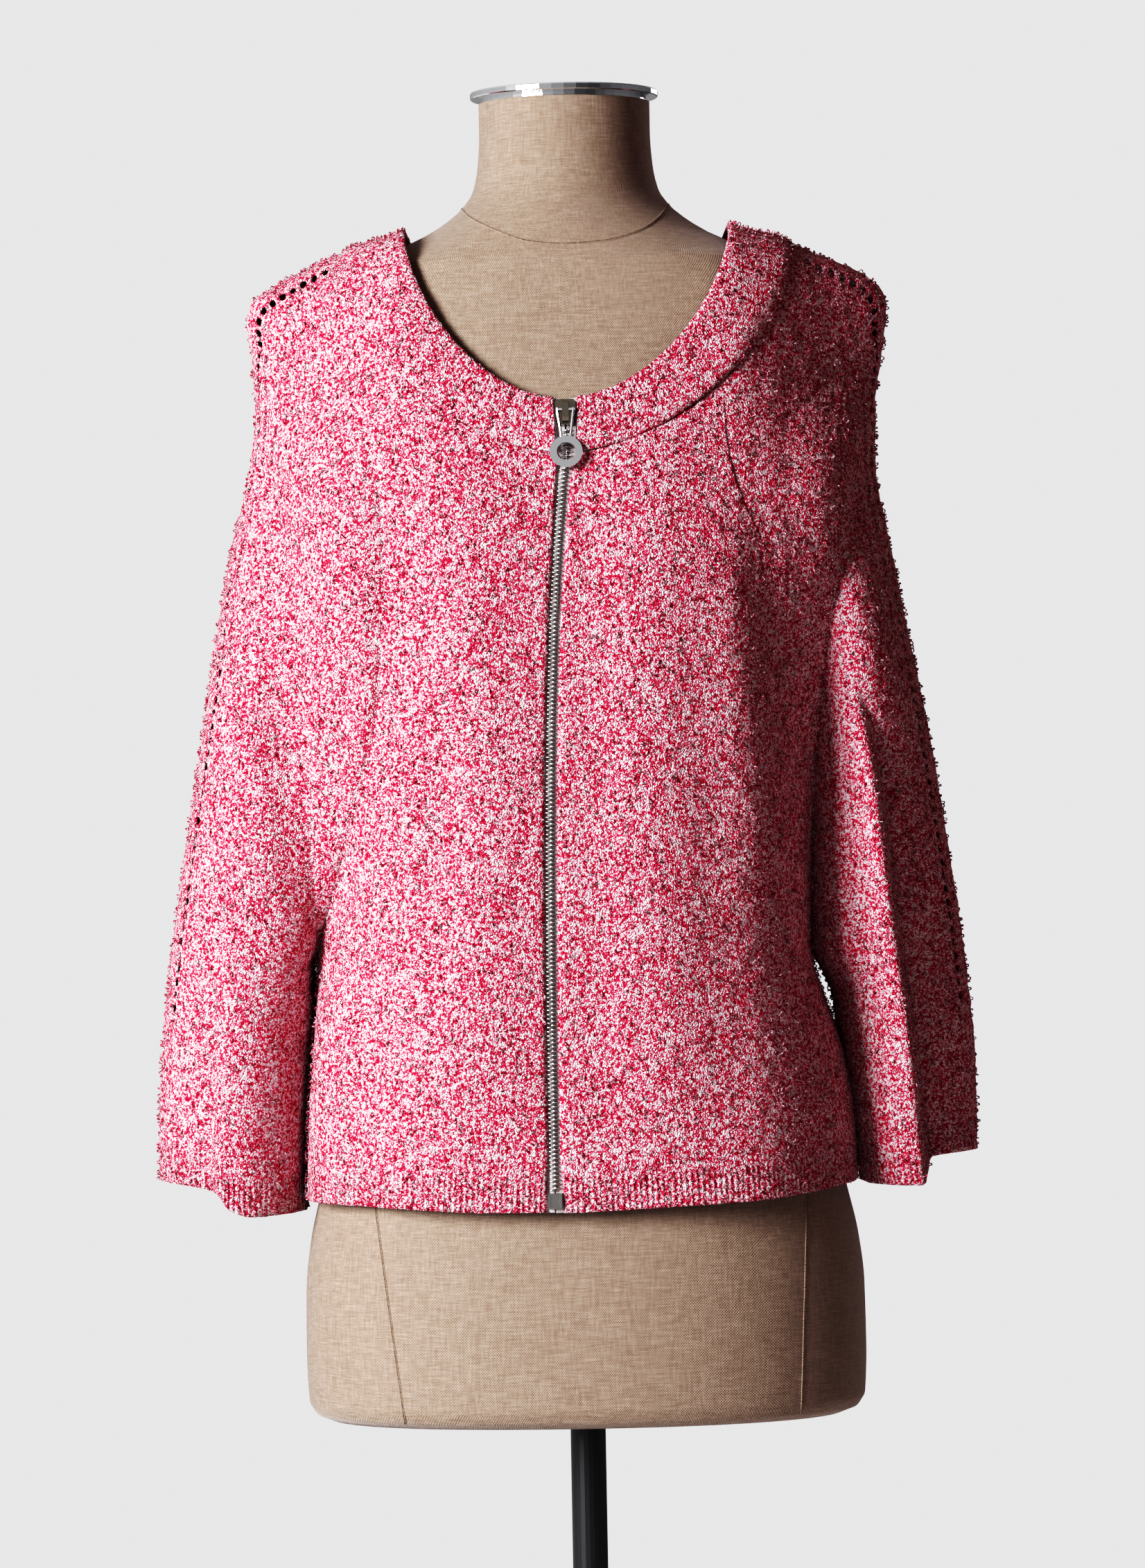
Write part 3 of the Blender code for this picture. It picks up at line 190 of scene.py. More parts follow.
def newMaterial(name):
    # a material, and its Object coordinates to start from
    material = bpy.data.materials.new(name)
    material.use_nodes = True
    tree = material.node_tree
    tree.nodes.clear()
    return material, Sock(tree).node("ShaderNodeTexCoord", out=3)


def finishMaterial(material, start, **values):
    shader = start.node("ShaderNodeBsdfPrincipled", **values)
    start.node("ShaderNodeOutputMaterial", i0=shader)
    return material


# Camera, light and floor

cameraSetup = {
    "place": (-0.0024, -3.9, 1.053),
    "lens": 142.95,
    "roll": 0.0183,  # the picture's top leans a little to the left
}
lightSetup = {
    "key": {"place": (-2.95, -2.55, 2.0), "size": (1.5, 1.8), "power": 285, "colour": (1.0, 0.985, 1.0)},
    "fill": {"place": (2.4, -3.2, 1.3), "size": (1.6, 2.0), "power": 5.0, "colour": (1.0, 0.62, 0.58)},
    "rim": {"place": (1.6, 2.4, 2.0), "size": (1.4, 1.2), "power": 8, "colour": (1.0, 0.9, 0.88)},
}
roomSetup = {
    "backdrop": (0.715, 0.715, 0.725),
    "ambient": (1.0, 0.42, 0.38),
    "ambientPower": 0.095,
    "mirrored": [(0.0, (0.95, 0.95, 0.96)), (0.45, (0.55, 0.55, 0.56)), (0.75, (0.05, 0.05, 0.055)),
                 (1.0, (0.30, 0.30, 0.31))],
    "belt": (0.03, 0.03, 0.033),
    "floorRadius": 2.4,
}
toneCurve = ((0.0, 0.0), (0.05, 0.020), (0.10, 0.060), (0.21, 0.212), (0.38, 0.46), (0.55, 0.64),
             (0.75, 0.83), (1.0, 0.96))


def addCamera():
    data = bpy.data.cameras.new("camera")
    data.lens = cameraSetup["lens"]
    camera = bpy.data.objects.new("camera", data)
    camera.location = cameraSetup["place"]
    camera.rotation_euler = (math.pi / 2, cameraSetup["roll"], 0)
    bpy.context.scene.collection.objects.link(camera)
    bpy.context.scene.camera = camera


def addLight(name, setup, target=(0, 0, 1.08)):
    data = bpy.data.lights.new(name, "AREA")
    data.shape = "RECTANGLE"
    data.size, data.size_y = setup["size"]
    data.energy = setup["power"]
    data.color = setup["colour"]
    light = bpy.data.objects.new(name, data)
    light.location = setup["place"]
    light.visible_glossy = name != "fill"
    back = unit(np.array(setup["place"], float) - np.array(target, float))
    tilt, turn = math.acos(back[2]), math.atan2(back[1], back[0]) + math.pi / 2
    light.rotation_euler = (tilt, 0, turn)
    bpy.context.scene.collection.objects.link(light)


def addTones():
    # a photograph's contrast: the curve lies below the diagonal in the shadows
    view = bpy.context.scene.view_settings
    view.view_transform = "Standard"
    view.use_curve_mapping = True
    curve = view.curve_mapping.curves[3]
    for place, value in toneCurve[1:-1]:
        curve.points.new(place, value)
    curve.points[-1].location = toneCurve[-1]
    view.curve_mapping.update()


def addRoom():
    world = bpy.data.worlds.new("studio")
    bpy.context.scene.world = world
    world.use_nodes = True
    tree = world.node_tree
    tree.nodes.clear()
    start = Sock(tree)
    plain = start.node("ShaderNodeBackground", i0=roomSetup["backdrop"], i1=1.0)
    soft = start.node("ShaderNodeBackground", i0=roomSetup["ambient"], i1=roomSetup["ambientPower"])
    direction = start.node("ShaderNodeTexCoord")
    # what metal mirrors: a pale left, a dark right, and a darker belt round the horizon
    mirrored = (direction.axis(0) * 0.5 + 0.5).ramp(roomSetup["mirrored"])
    upwards = direction.axis(2)
    belt = upwards.between(0.16, 0.32) + (1 - upwards.between(-0.32, -0.18))
    dimmed = (belt * 0.5 + 0.5).mixed(roomSetup["belt"], mirrored)
    shine = start.node("ShaderNodeBackground", i0=dimmed, i1=1.0)
    unseen = start.node("ShaderNodeMixShader", i0=start.node("ShaderNodeLightPath", out=3), i1=soft, i2=shine)
    both = start.node("ShaderNodeMixShader", i0=start.node("ShaderNodeLightPath"), i1=unseen, i2=plain)
    start.node("ShaderNodeOutputWorld", i0=both)
    turn = np.linspace(0, 2 * math.pi, 97)[:-1]
    reach = np.array([0.0, 0.5, 1.0, 1.6, roomSetup["floorRadius"]])[:, None]
    x, y = reach * np.cos(turn), reach * np.sin(turn)
    points = np.stack([x, y, np.zeros_like(x)], -1).reshape(-1, 3)
    floor = meshObject("studioFloor", points, gridFaces(len(reach), len(turn), closed=True))
    material, coords = newMaterial("floor")
    far = coords.node("ShaderNodeVectorMath", {"operation": "LENGTH"}, out=1, i0=coords)
    fade = 1 - far.between(1.1, roomSetup["floorRadius"] * 0.97)
    finishMaterial(material, coords, Base_Color=(0.74, 0.745, 0.755), Roughness=0.9, Alpha=fade)
    floor.data.materials.append(material)


# Meshes from grids

def gridFaces(rows, columns, closed=False):
    # quads between neighbours (i, j), (i, j + 1), (i + 1, j + 1), (i + 1, j) of a rows x columns grid
    i = np.arange(rows - 1)[:, None]
    j = np.arange(columns if closed else columns - 1)[None, :]
    k = (j + 1) % columns
    here, below = i * columns, (i + 1) * columns
    return np.stack([here + j, here + k, below + k, below + j], -1).reshape(-1, 4)


def meshObject(name, points, faces, uv=None, smooth=True):
    # a mesh object from arrays; a face's repeated corner makes it a triangle
    mesh = bpy.data.meshes.new(name)
    faces = np.asarray(faces, np.int64)
    keep = faces != np.roll(faces, 1, axis=1)
    sizes = keep.sum(axis=1)
    faces, keep, sizes = faces[sizes > 2], keep[sizes > 2], sizes[sizes > 2]
    mesh.vertices.add(len(points))
    mesh.vertices.foreach_set("co", np.asarray(points, np.float32).ravel())
    loops = faces[keep]
    mesh.loops.add(len(loops))
    mesh.loops.foreach_set("vertex_index", loops.astype(np.int32))
    mesh.polygons.add(len(faces))
    mesh.polygons.foreach_set("loop_start", (np.cumsum(sizes) - sizes).astype(np.int32))
    mesh.update(calc_edges=True)
    mesh.validate()
    if uv is not None:
        layer = mesh.uv_layers.new(name="UVMap")
        layer.data.foreach_set("uv", np.asarray(uv, np.float32)[loops].ravel())
    if smooth:
        mesh.shade_smooth()
    made = bpy.data.objects.new(name, mesh)
    bpy.context.scene.collection.objects.link(made)
    return made


def faceNormals(points, faces):
    # sum of the cross products of both diagonals' sides, so a longer face counts more
    a, b, c, d = (points[faces[:, k]] for k in range(4))
    return np.cross(c - a, d - b)


def pointNormals(points, faces):
    total = np.zeros((len(points), 3))
    flat = faceNormals(points, faces)
    for k in range(4):
        np.add.at(total, faces[:, k], flat)
    return unit(total)


# The cardigan's cut: the same sections as the frame's, read at a finer grid

outlineTables = {
    -1: tableOf(("height", "half"), (0.808, 0.2648), (0.850, 0.2640), (0.900, 0.2605), (0.950, 0.2545),
                (1.010, 0.2450), (1.080, 0.2335), (1.150, 0.2220), (1.205, 0.2115), (1.250, 0.2000),
                (1.290, 0.1955), (1.325, 0.1968), (1.346, 0.2000), (1.357, 0.1965), (1.3635, 0.1880),
                (1.3690, 0.1790), (1.3760, 0.1650), (1.3870, 0.1400), (1.3935, 0.1190), (1.3995, 0.1000)),
    1: tableOf(("height", "half"), (0.818, 0.2466), (0.860, 0.2465), (0.900, 0.2446), (0.950, 0.2395),
               (1.010, 0.2312), (1.080, 0.2205), (1.150, 0.2072), (1.205, 0.1970), (1.250, 0.1898),
               (1.290, 0.1905), (1.325, 0.1958), (1.348, 0.1985), (1.359, 0.1950), (1.3660, 0.1870),
               (1.3715, 0.1780), (1.3785, 0.1600), (1.3870, 0.1400), (1.3935, 0.1190), (1.3995, 0.1000)),
}
bodyTable = tableOf(
    ("height", "front", "back"), (0.790, 0.1230, 0.1250), (0.850, 0.1240, 0.1230), (0.886, 0.1250, 0.1200),
    (0.920, 0.1260, 0.1165), (0.953, 0.1265, 0.1135), (1.000, 0.1275, 0.1090), (1.080, 0.1290, 0.1060),
    (1.160, 0.1290, 0.1060), (1.210, 0.1230, 0.1080), (1.260, 0.1120, 0.1070), (1.300, 0.1030, 0.1030),
    (1.340, 0.0940, 0.0970), (1.370, 0.0860, 0.0890), (1.3995, 0.0760, 0.0790))
widthTables = {
    -1: tableOf(("height", "half"), (0.790, 0.1730), (0.850, 0.1705), (0.886, 0.1675), (0.920, 0.1650),
                (0.953, 0.1632), (1.000, 0.1640), (1.080, 0.1665), (1.160, 0.1712), (1.210, 0.1790),
                (1.260, 0.1880), (1.300, 0.1950), (1.340, 0.1990), (1.370, 0.1780), (1.3995, 0.1000)),
    1: tableOf(("height", "half"), (0.790, 0.1725), (0.850, 0.1700), (0.886, 0.1635), (0.920, 0.1520),
               (0.953, 0.1440), (1.000, 0.1455), (1.080, 0.1500), (1.160, 0.1610), (1.210, 0.1730),
               (1.260, 0.1870), (1.300, 0.1950), (1.340, 0.1990), (1.370, 0.1780), (1.3995, 0.1000)),
}
sleeveTables = {
    -1: tableOf(("height", "inner", "front", "back", "setback"), (0.785, 0.1750, 0.058, 0.040, 0.010),
                (0.850, 0.1722, 0.060, 0.041, 0.009), (0.886, 0.1690, 0.061, 0.042, 0.008),
                (0.915, 0.1666, 0.062, 0.044, 0.007), (0.944, 0.1672, 0.064, 0.047, 0.005),
                (0.953, 0.1632, 0.065, 0.048, 0.005), (1.020, 0.1420, 0.073, 0.056, 0.003),
                (1.110, 0.1200, 0.072, 0.060, 0.001), (1.200, 0.1150, 0.060, 0.052, 0.000),
                (1.270, 0.1250, 0.035, 0.034, 0.000), (1.330, 0.1400, 0.000, 0.000, 0.000),
                (1.400, 0.1400, 0.000, 0.000, 0.000)),
    1: tableOf(("height", "inner", "front", "back", "setback"), (0.798, 0.1740, 0.060, 0.036, 0.010),
               (0.860, 0.1640, 0.062, 0.037, 0.009), (0.920, 0.1580, 0.064, 0.040, 0.007),
               (0.953, 0.1440, 0.066, 0.044, 0.005), (1.020, 0.1405, 0.074, 0.052, 0.003),
               (1.110, 0.1380, 0.074, 0.056, 0.001), (1.200, 0.1330, 0.060, 0.050, 0.000),
               (1.270, 0.1300, 0.035, 0.034, 0.000), (1.330, 0.1400, 0.000, 0.000, 0.000),
               (1.400, 0.1400, 0.000, 0.000, 0.000)),
}
stepTables = {
    -1: tableOf(("height", "place", "share"), (0.785, 0.2290, 0.22), (0.900, 0.2240, 0.12),
                (1.000, 0.2150, 0.0), (1.400, 0.2000, 0.0)),
    1: tableOf(("height", "place", "share"), (0.795, 0.2135, 0.48), (0.892, 0.2050, 0.46),
               (0.977, 0.1945, 0.40), (1.063, 0.1840, 0.24), (1.130, 0.1710, 0.0), (1.400, 0.1700, 0.0)),
}
folds = {"front": {}, "back": {}}  # each row: top, bottom, across at both, depth, width
folds["front"][-1] = ((1.185, 0.945, 0.190, 0.1655, -0.008, 0.014),
                      (1.170, 0.975, 0.136, 0.156, -0.007, 0.012),
                      (1.220, 1.020, 0.100, 0.118, -0.004, 0.020),
                      (1.150, 0.900, 0.075, 0.088, -0.005, 0.016))
folds["front"][1] = ((1.240, 0.950, 0.110, 0.150, -0.009, 0.015),
                     (1.270, 0.900, 0.084, 0.122, 0.0045, 0.020),
                     (1.230, 0.835, 0.146, 0.186, -0.011, 0.013),
                     (1.130, 0.860, 0.066, 0.078, -0.0015, 0.020))
folds["back"][-1] = ((1.240, 0.960, 0.090, 0.120, -0.010, 0.022),
                     (1.180, 0.880, 0.050, 0.058, -0.006, 0.020),
                     (1.180, 0.830, 0.190, 0.212, 0.006, 0.014))
folds["back"][1] = ((1.240, 0.970, 0.094, 0.124, -0.010, 0.022),
                    (1.150, 0.850, 0.040, 0.062, -0.005, 0.020), (1.160, 0.830, 0.184, 0.204, 0.006, 0.014))
zipLine = tableOf(
    ("height", "across", "parting"), (0.780, -0.0175, 0.0058), (0.806, -0.0175, 0.0049),
    (0.830, -0.0175, 0.0036), (0.900, -0.0174, 0.0036), (0.983, -0.0167, 0.0036), (1.066, -0.0150, 0.0036),
    (1.150, -0.0115, 0.0036), (1.192, -0.0085, 0.0037), (1.234, -0.0050, 0.0042), (1.257, -0.0025, 0.0058),
    (1.268, -0.0025, 0.0070), (1.300, -0.0028, 0.0070))
neckCurves = {
    "front": {"edge": (0.1000, 0.1105, 1.3995), "seam": (0.1400, 0.1320, 1.3870), "power": 1.7},
    "back": {"edge": (0.1000, 0.0270, 1.3995), "seam": (0.1400, 0.0560, 1.3870), "power": 2.0},
}
endTables = {
    ("body", -1): tableOf(("across", "front", "back"), (0.000, 0.7930, 0.7935), (0.060, 0.7935, 0.7940),
                          (0.110, 0.7955, 0.7965), (0.175, 0.7980, 0.7980)),
    ("body", 1): tableOf(("across", "front", "back"), (0.000, 0.7930, 0.7935), (0.060, 0.7955, 0.7950),
                         (0.110, 0.7975, 0.7985), (0.175, 0.8045, 0.8045)),
    ("sleeve", -1): tableOf(("across", "front", "back"), (0.170, 0.7900, 0.7900), (0.206, 0.7885, 0.7960),
                            (0.219, 0.7930, 0.8000), (0.228, 0.8040, 0.8040), (0.266, 0.8100, 0.8100)),
    ("sleeve", 1): tableOf(("across", "front", "back"), (0.170, 0.8040, 0.8040), (0.180, 0.8015, 0.8060),
                           (0.209, 0.8010, 0.8120), (0.217, 0.8170, 0.8170), (0.249, 0.8200, 0.8200)),
}
dipLines = {
    -1: tableOf(("height", "across"), (0.953, 0.1632), (1.000, 0.1580), (1.048, 0.1490), (1.094, 0.1370),
                (1.170, 0.1150), (1.300, 0.0935), (1.400, 0.0950)),
    1: tableOf(("height", "across"), (0.953, 0.1440), (1.000, 0.1435), (1.048, 0.1430), (1.094, 0.1400),
               (1.170, 0.1260), (1.300, 0.0935), (1.400, 0.0950)),
}
holeTable = tableOf(
    ("along", "inset", "width", "cell"), (0.000, 0.0095, 0.0046, 0.0044), (0.075, 0.0092, 0.0046, 0.0044),
    (0.110, 0.0026, 0.0015, 0.0021), (0.240, 0.0028, 0.0015, 0.0023), (0.290, 0.0058, 0.0023, 0.0042),
    (0.640, 0.0060, 0.0024, 0.0044))
cut = {
    "wall": 0.0022,
    "bodyPower": {-1: 2.35, 1: 2.65},
    "bandExtra": 0.0006,
    "bandRise": {-1: 0.0008, 1: 0.0022},
    "underarmRow": 0.700,
    "underarmHeight": 0.953,
    "seamEnd": 0.801,
    "spread": {-1: (-0.018, 0.014), 1: (0.0, 0.0)},  # the body's seam forward, the sleeve's back
    "spreadDrop": 0.060,
    "spreadReach": 0.045,
    "sleeveCurve": {-1: (0.66, 0.44), 1: (0.90, 0.60)},
    "border": 0.018,
    "borderTurn": 0.140,
    "holePitch": 0.00845,
    "holeStart": 0.012,
    "holes": 60,
    "holeLength": 0.0050,
}


def borderLine(side):
    heights = np.linspace(neckCurves["front"]["seam"][2], outlineTables[side]["height"][0], 4000)
    across = read(outlineTables[side], "half", heights)
    along = np.concatenate([[0], np.cumsum(np.hypot(np.diff(heights), np.diff(across)))])
    return heights, across, along


borderLines = {side: borderLine(side) for side in sides}


def borderPoint(side, along):
    heights, across, run = borderLines[side]
    return np.stack([np.interp(along, run, across), np.interp(along, run, heights)], -1)


def quarterOval(t, sizes, power):
    # across = a sin(t pi/2)^(2/p), drop = b cos(t pi/2)^(2/p)
    angle = np.clip(t, 0, 1) * math.pi / 2
    return sizes[0] * np.sin(angle) ** (2 / power), sizes[1] * np.maximum(np.cos(angle), 0) ** (2 / power)


def zipEdge(side, height):
    return side * read(zipLine, "across", height) + read(zipLine, "parting", height)


def neckPoint(side, layer, t, which="seam"):
    sizes, power = neckCurves[layer][which], neckCurves[layer]["power"]
    across, drop = quarterOval(t, sizes, power)
    height = sizes[2] - drop
    if layer == "front":
        across = zipEdge(side, height) * (1 - across / sizes[0]) + across
    return np.stack([across, height], -1)


def borderStart(side, layer):
    sizes, power = neckCurves[layer]["seam"], neckCurves[layer]["power"]
    t = math.acos((cut["border"] / sizes[1]) ** (power / 2)) / (math.pi / 2)
    return t, neckPoint(side, layer, t) - borderPoint(side, 0.0)


def hang(side, part, layer, v, point, last):
    # height += share (end line - last row's height), share = ((v - v0) / (1 - v0))^2 below the underarm
    share = np.clip((v - cut["underarmRow"]) / (1 - cut["underarmRow"]), 0, 1) ** 2
    end = read(endTables[part, side], layer, last[..., 0], by="across")
    return np.stack([point[..., 0], point[..., 1] + share * (end - last[..., 1])], -1)


def foldPoint(side, v):
    length = borderLines[side][2][-1]
    return hang(side, "sleeve", "front", v, borderPoint(side, v * length),
                borderPoint(side, np.full_like(v, length)))


def borderInner(side, layer, v):
    length = borderLines[side][2][-1]
    first = borderStart(side, layer)[1]

    def raw(w):
        turn = ease(w * length / cut["borderTurn"])
        size = math.hypot(*first) * (1 - turn) + cut["border"] * turn
        angle = math.atan2(-first[1], -first[0]) * (1 - turn)
        return borderPoint(side, w * length) - size[..., None] * np.stack([np.cos(angle), np.sin(angle)], -1)

    return hang(side, "sleeve", layer, v, raw(v), raw(np.ones_like(v)))


def dipPoint(side, layer, v, part):
    # above the underarm the dip between body and sleeve, below it each tube's own seam
    row, low = cut["underarmRow"], cut["underarmHeight"]
    top = neckPoint(side, layer, 0.5)
    height = np.where(v <= row, top[1] + (low - top[1]) * v / row,
                      low + (cut["seamEnd"] - low) * (v - row) / (1 - row))
    above = read(dipLines[side], "across", height)
    above = above + (top[0] - above) * (1 - ease(4 * v))
    table, name = (widthTables[side], "half") if part == "body" else (sleeveTables[side], "inner")
    return np.stack([np.where(v <= row, above, read(table, name, height)), height], -1)


def middlePoint(side, layer, v):
    top = neckPoint(side, layer, 0.0)
    height = top[1] + (read(endTables["body", side], layer, 0.0, by="across") - top[1]) * v
    return np.stack([zipEdge(side, height) if layer == "front" else np.zeros_like(v), height], -1)


def bend(a, b, c, t):
    # a (1 - t)^2 + 2 b t (1 - t) + c t^2
    return a * (1 - t) ** 2 + 2 * b * t * (1 - t) + c * t ** 2


def panelRows(side, layer, v, tBody, tSleeve):
    # rows of the body's and the sleeve's part of a panel: v down the panel, t across it
    v = v[:, None]
    first, last = middlePoint(side, layer, v), borderInner(side, layer, v)
    bodyEnd, sleeveStart = dipPoint(side, layer, v, "body"), dipPoint(side, layer, v, "sleeve")
    knee = np.stack([0.5 * (first[..., 0] + bodyEnd[..., 0]), first[..., 1]], -1)
    tB, tS = tBody[None, :, None], tSleeve[None, :, None]
    body = bend(first, knee, bodyEnd, tB)
    sleeve = bend(sleeveStart, 0.5 * (sleeveStart + last), last, tS)
    top = borderStart(side, layer)[0]
    seamBody = neckPoint(side, layer, 0.5 * tBody)
    seamSleeve = neckPoint(side, layer, 0.5 + (top - 0.5) * tSleeve)
    bulgeBody = seamBody - (seamBody[0] + (seamBody[-1] - seamBody[0]) * tBody[:, None])
    bulgeSleeve = seamSleeve - (seamSleeve[0] + (seamSleeve[-1] - seamSleeve[0]) * tSleeve[:, None])
    start = ease(v / 0.16)[..., None]
    body = start * body + (1 - start) * (first + (bodyEnd - first) * tB + bulgeBody)
    sleeve = start * sleeve + (1 - start) * (sleeveStart + (last - sleeveStart) * tS + bulgeSleeve)
    return body, sleeve


def hungRows(side, layer, v, tBody, tSleeve):
    # the rows with their drop towards hem and cuff; both layers use the front's line at the seams they share
    body, sleeve = panelRows(side, layer, v, tBody, tSleeve)
    lastBody, lastSleeve = panelRows(side, layer, np.ones(1), tBody, tSleeve)
    drop = v[:, None]
    seam = hang(side, "body", "front", drop, body[:, -1:], lastBody[:, -1:])
    underarm = hang(side, "sleeve", "front", drop, sleeve[:, :1], lastSleeve[:, :1])
    body = np.concatenate([hang(side, "body", layer, drop, body[:, :-1], lastBody[:, :-1]), seam], 1)
    middle = hang(side, "sleeve", layer, drop, sleeve[:, 1:-1], lastSleeve[:, 1:-1])
    return body, np.concatenate([underarm, middle, sleeve[:, -1:]], 1)


def clothDepth(side, layer, across, height, part):
    # ((body tube)^3 + (sleeve tube)^3)^(1/3), then the folds; below the underarm each part keeps its own tube
    outline = read(outlineTables[side], "half", height)
    width = np.minimum(read(widthTables[side], "half", height), outline)
    width = np.where(height > 1.335, outline, width)
    thinning = 1 - 0.50 * ease((across - 0.095) / 0.105) * ease((height - 1.22) / 0.10)
    body = read(bodyTable, layer, height) * thinning
    power = cut["bodyPower"][side] if layer == "front" else 2.25
    power = 2.25 + (power - 2.25) * ease((1.30 - height) / 0.10)
    body = body * np.clip(1 - np.clip(np.abs(across) / width, 0, 1) ** power, 0, 1) ** (1 / power)
    inner = read(sleeveTables[side], "inner", height)
    lean, roundness = cut["sleeveCurve"][side]
    t = np.clip((across - inner) / np.maximum(outline - inner, 1e-6), 0, 1) ** lean
    sleeve = read(sleeveTables[side], layer, height) * (4 * t * (1 - t)) ** roundness
    if layer == "front":
        step = ease((across - read(stepTables[side], "place", height)) / 0.007 + 0.5)
        sleeve = sleeve * (1 - step * read(stepTables[side], "share", height))
    apart = ease((cut["underarmHeight"] - height) / 0.03)
    if part == "body":
        sleeve = sleeve * (1 - apart)
    if part == "sleeve":
        body = body * (1 - apart)
    joined = (body ** 3 + sleeve ** 3) ** (1 / 3)
    fade = np.clip(joined / 0.03, 0, 1)
    for high, low, start, end, depth, wide in folds[layer][side]:
        t = (high - height) / (high - low)
        middle = start + (end - start) * t
        strength = np.sin(math.pi * np.clip(t, 0, 1)) ** 1.3
        joined = joined + fade * depth * strength * np.exp(-(((across - middle) / wide) ** 2))
    return joined


def setback(side, flat, part):
    # behind the shoulder's middle; below the underarm the body's seam lies forward and the sleeve's back
    across, height = flat[..., 0], flat[..., 1]
    back = read(sleeveTables[side], "setback", height) * ease((across - 0.10) / 0.06)
    drop = ease((cut["underarmHeight"] - height) / cut["spreadDrop"])
    forward, behind = cut["spread"][side]
    if part == "body":
        past = across - read(widthTables[side], "half", height)
        return back + drop * forward * ease(past / cut["spreadReach"] + 1)
    past = read(sleeveTables[side], "inner", height) - across
    return back + drop * behind * ease(past / cut["spreadReach"] + 1)


def clothPoints(side, layer, flat, part="sleeve"):
    # points of the cloth's middle surface over (across, height)
    out = clothDepth(side, layer, flat[..., 0], flat[..., 1], part)
    back = setback(side, flat, part)
    return np.stack([side * flat[..., 0], back + (-out if layer == "front" else out), flat[..., 1]], -1)


def seamPoints(side, flat, part):
    # where front and back meet there is no depth
    return np.stack([side * flat[..., 0], setback(side, flat, part), flat[..., 1]], -1)


# The cardigan's fine surface: grids of every panel on shared edges, then walls with a bouclé relief

knitSetup = {
    "bodyColumns": {"front": 66, "back": 37},
    "sleeveColumns": {"front": 54, "back": 32},
    "bandRows": 15,
    "step": 0.00212,
    "lumpSize": 0.0040,
    "lumpDepth": 0.00060,
    "curlSize": 0.0023,
    "curlDepth": 0.00036,
    "chest": {-1: (0.066, 0.0045), 1: (0.050, 0.0060)},  # soft rises beside the zip: distance across, height
    "seamDip": 0.0007,
}


def rowLengths(side):
    # lengths down the fold where the rows lie: four to each eyelet's cell
    end = borderLines[side][2][-1]
    start = cut["holeStart"] - cut["holePitch"] / 2
    last = start + cut["holes"] * cut["holePitch"]
    tail = int(round((end - last) / knitSetup["step"]))
    return np.concatenate([np.linspace(0, start, 5)[:-1], np.linspace(start, last, cut["holes"] * 4 + 1)[:-1],
                           np.linspace(last, end, tail + 1)])


def borderFlat(side, layer, along, inset):
    # fold + (inner edge - fold) * inset / border, all at one length along the fold
    v = along / borderLines[side][2][-1]
    outer, inner = foldPoint(side, v), borderInner(side, layer, v)
    return outer + (inner - outer) * (inset / cut["border"])[..., None]


def borderInsets(layer, along):
    if layer == "back":
        return cut["border"] * (1 - np.arange(1, 12) / 11)[None, :] ** 1.7 * np.ones((len(along), 1))
    middle = read(holeTable, "inset", along, by="along")[:, None]
    half = read(holeTable, "cell", along, by="along")[:, None]
    inner = cut["border"] + (middle + half - cut["border"]) * np.array([[0.5]])
    cell = middle + half * (1 - np.arange(5)[None, :] / 2)
    outer = (middle - half) * (1 - np.arange(1, 7)[None, :] / 6) ** 2
    return np.concatenate([inner, cell, outer], 1)


def eyeletRings(side, along):
    # rings from each hole's rim to the edge of its cell, on the front layer's border
    quarter = np.linspace(-1, 1, 5)[:-1]
    corner = np.concatenate([np.stack([quarter, -np.ones(4)], -1), np.stack([np.ones(4), quarter], -1),
                             np.stack([-quarter, np.ones(4)], -1), np.stack([-np.ones(4), -quarter], -1)])
    angle = np.arctan2(corner[:, 1], corner[:, 0])
    chance = np.random.default_rng(3 + side)
    middle = cut["holeStart"] + np.arange(cut["holes"]) * cut["holePitch"]
    size = 0.5 * chance.uniform(0.80, 1.08, (cut["holes"], 1, 2))
    size = size * chance.uniform(0.90, 1.08, (cut["holes"], 16, 1))
    reach = np.array([0.0, 0.3, 0.65, 1.0])[None, :, None]
    alongHole = (size[..., 1] * np.sin(angle) * cut["holeLength"])[:, None]
    run = middle[:, None, None] + alongHole * (1 - reach) + corner[:, 1] * cut["holePitch"] / 2 * reach
    width, cell = (read(holeTable, name, run, by="along") for name in ("width", "cell"))
    inset = read(holeTable, "inset", run, by="along")
    inset = inset + (size[..., 0] * np.cos(angle))[:, None] * width * (1 - reach)
    inset = inset + corner[:, 0] * cell * reach
    flat = borderFlat(side, "front", run, inset)
    n = 4 * 16
    ring = gridFaces(4, 16, closed=True)[None] + (np.arange(cut["holes"]) * n)[:, None, None]
    rim = np.broadcast_to(reach == 0, run.shape)
    return flat.reshape(-1, 2), ring.reshape(-1, 4), run.reshape(-1), inset.reshape(-1), rim.reshape(-1)


def lengthOver(points, axis):
    steps = np.linalg.norm(np.diff(points, axis=axis), axis=-1)
    start = np.zeros_like(np.take(steps, [0], axis=axis))
    return np.cumsum(np.concatenate([start, steps], axis), axis=axis)


patches = []


def addPatch(panel, points, faces, uv, rise, outwards):
    # one grid of a panel: its points, faces turned outwards, lengths across and down, and its rise
    points = points.reshape(-1, 3)
    faces = np.asarray(faces)
    if faceNormals(points, faces).sum(axis=0) @ np.array(outwards, float) < 0:
        faces = faces[:, ::-1]
    patches.append({"panel": panel, "points": points, "faces": faces, "uv": uv.reshape(-1, 2),
                    "rise": rise.reshape(-1)})


def edgeRoll(count, first, second):
    roll = np.zeros(count)
    roll[0], roll[1] = first, second
    return roll


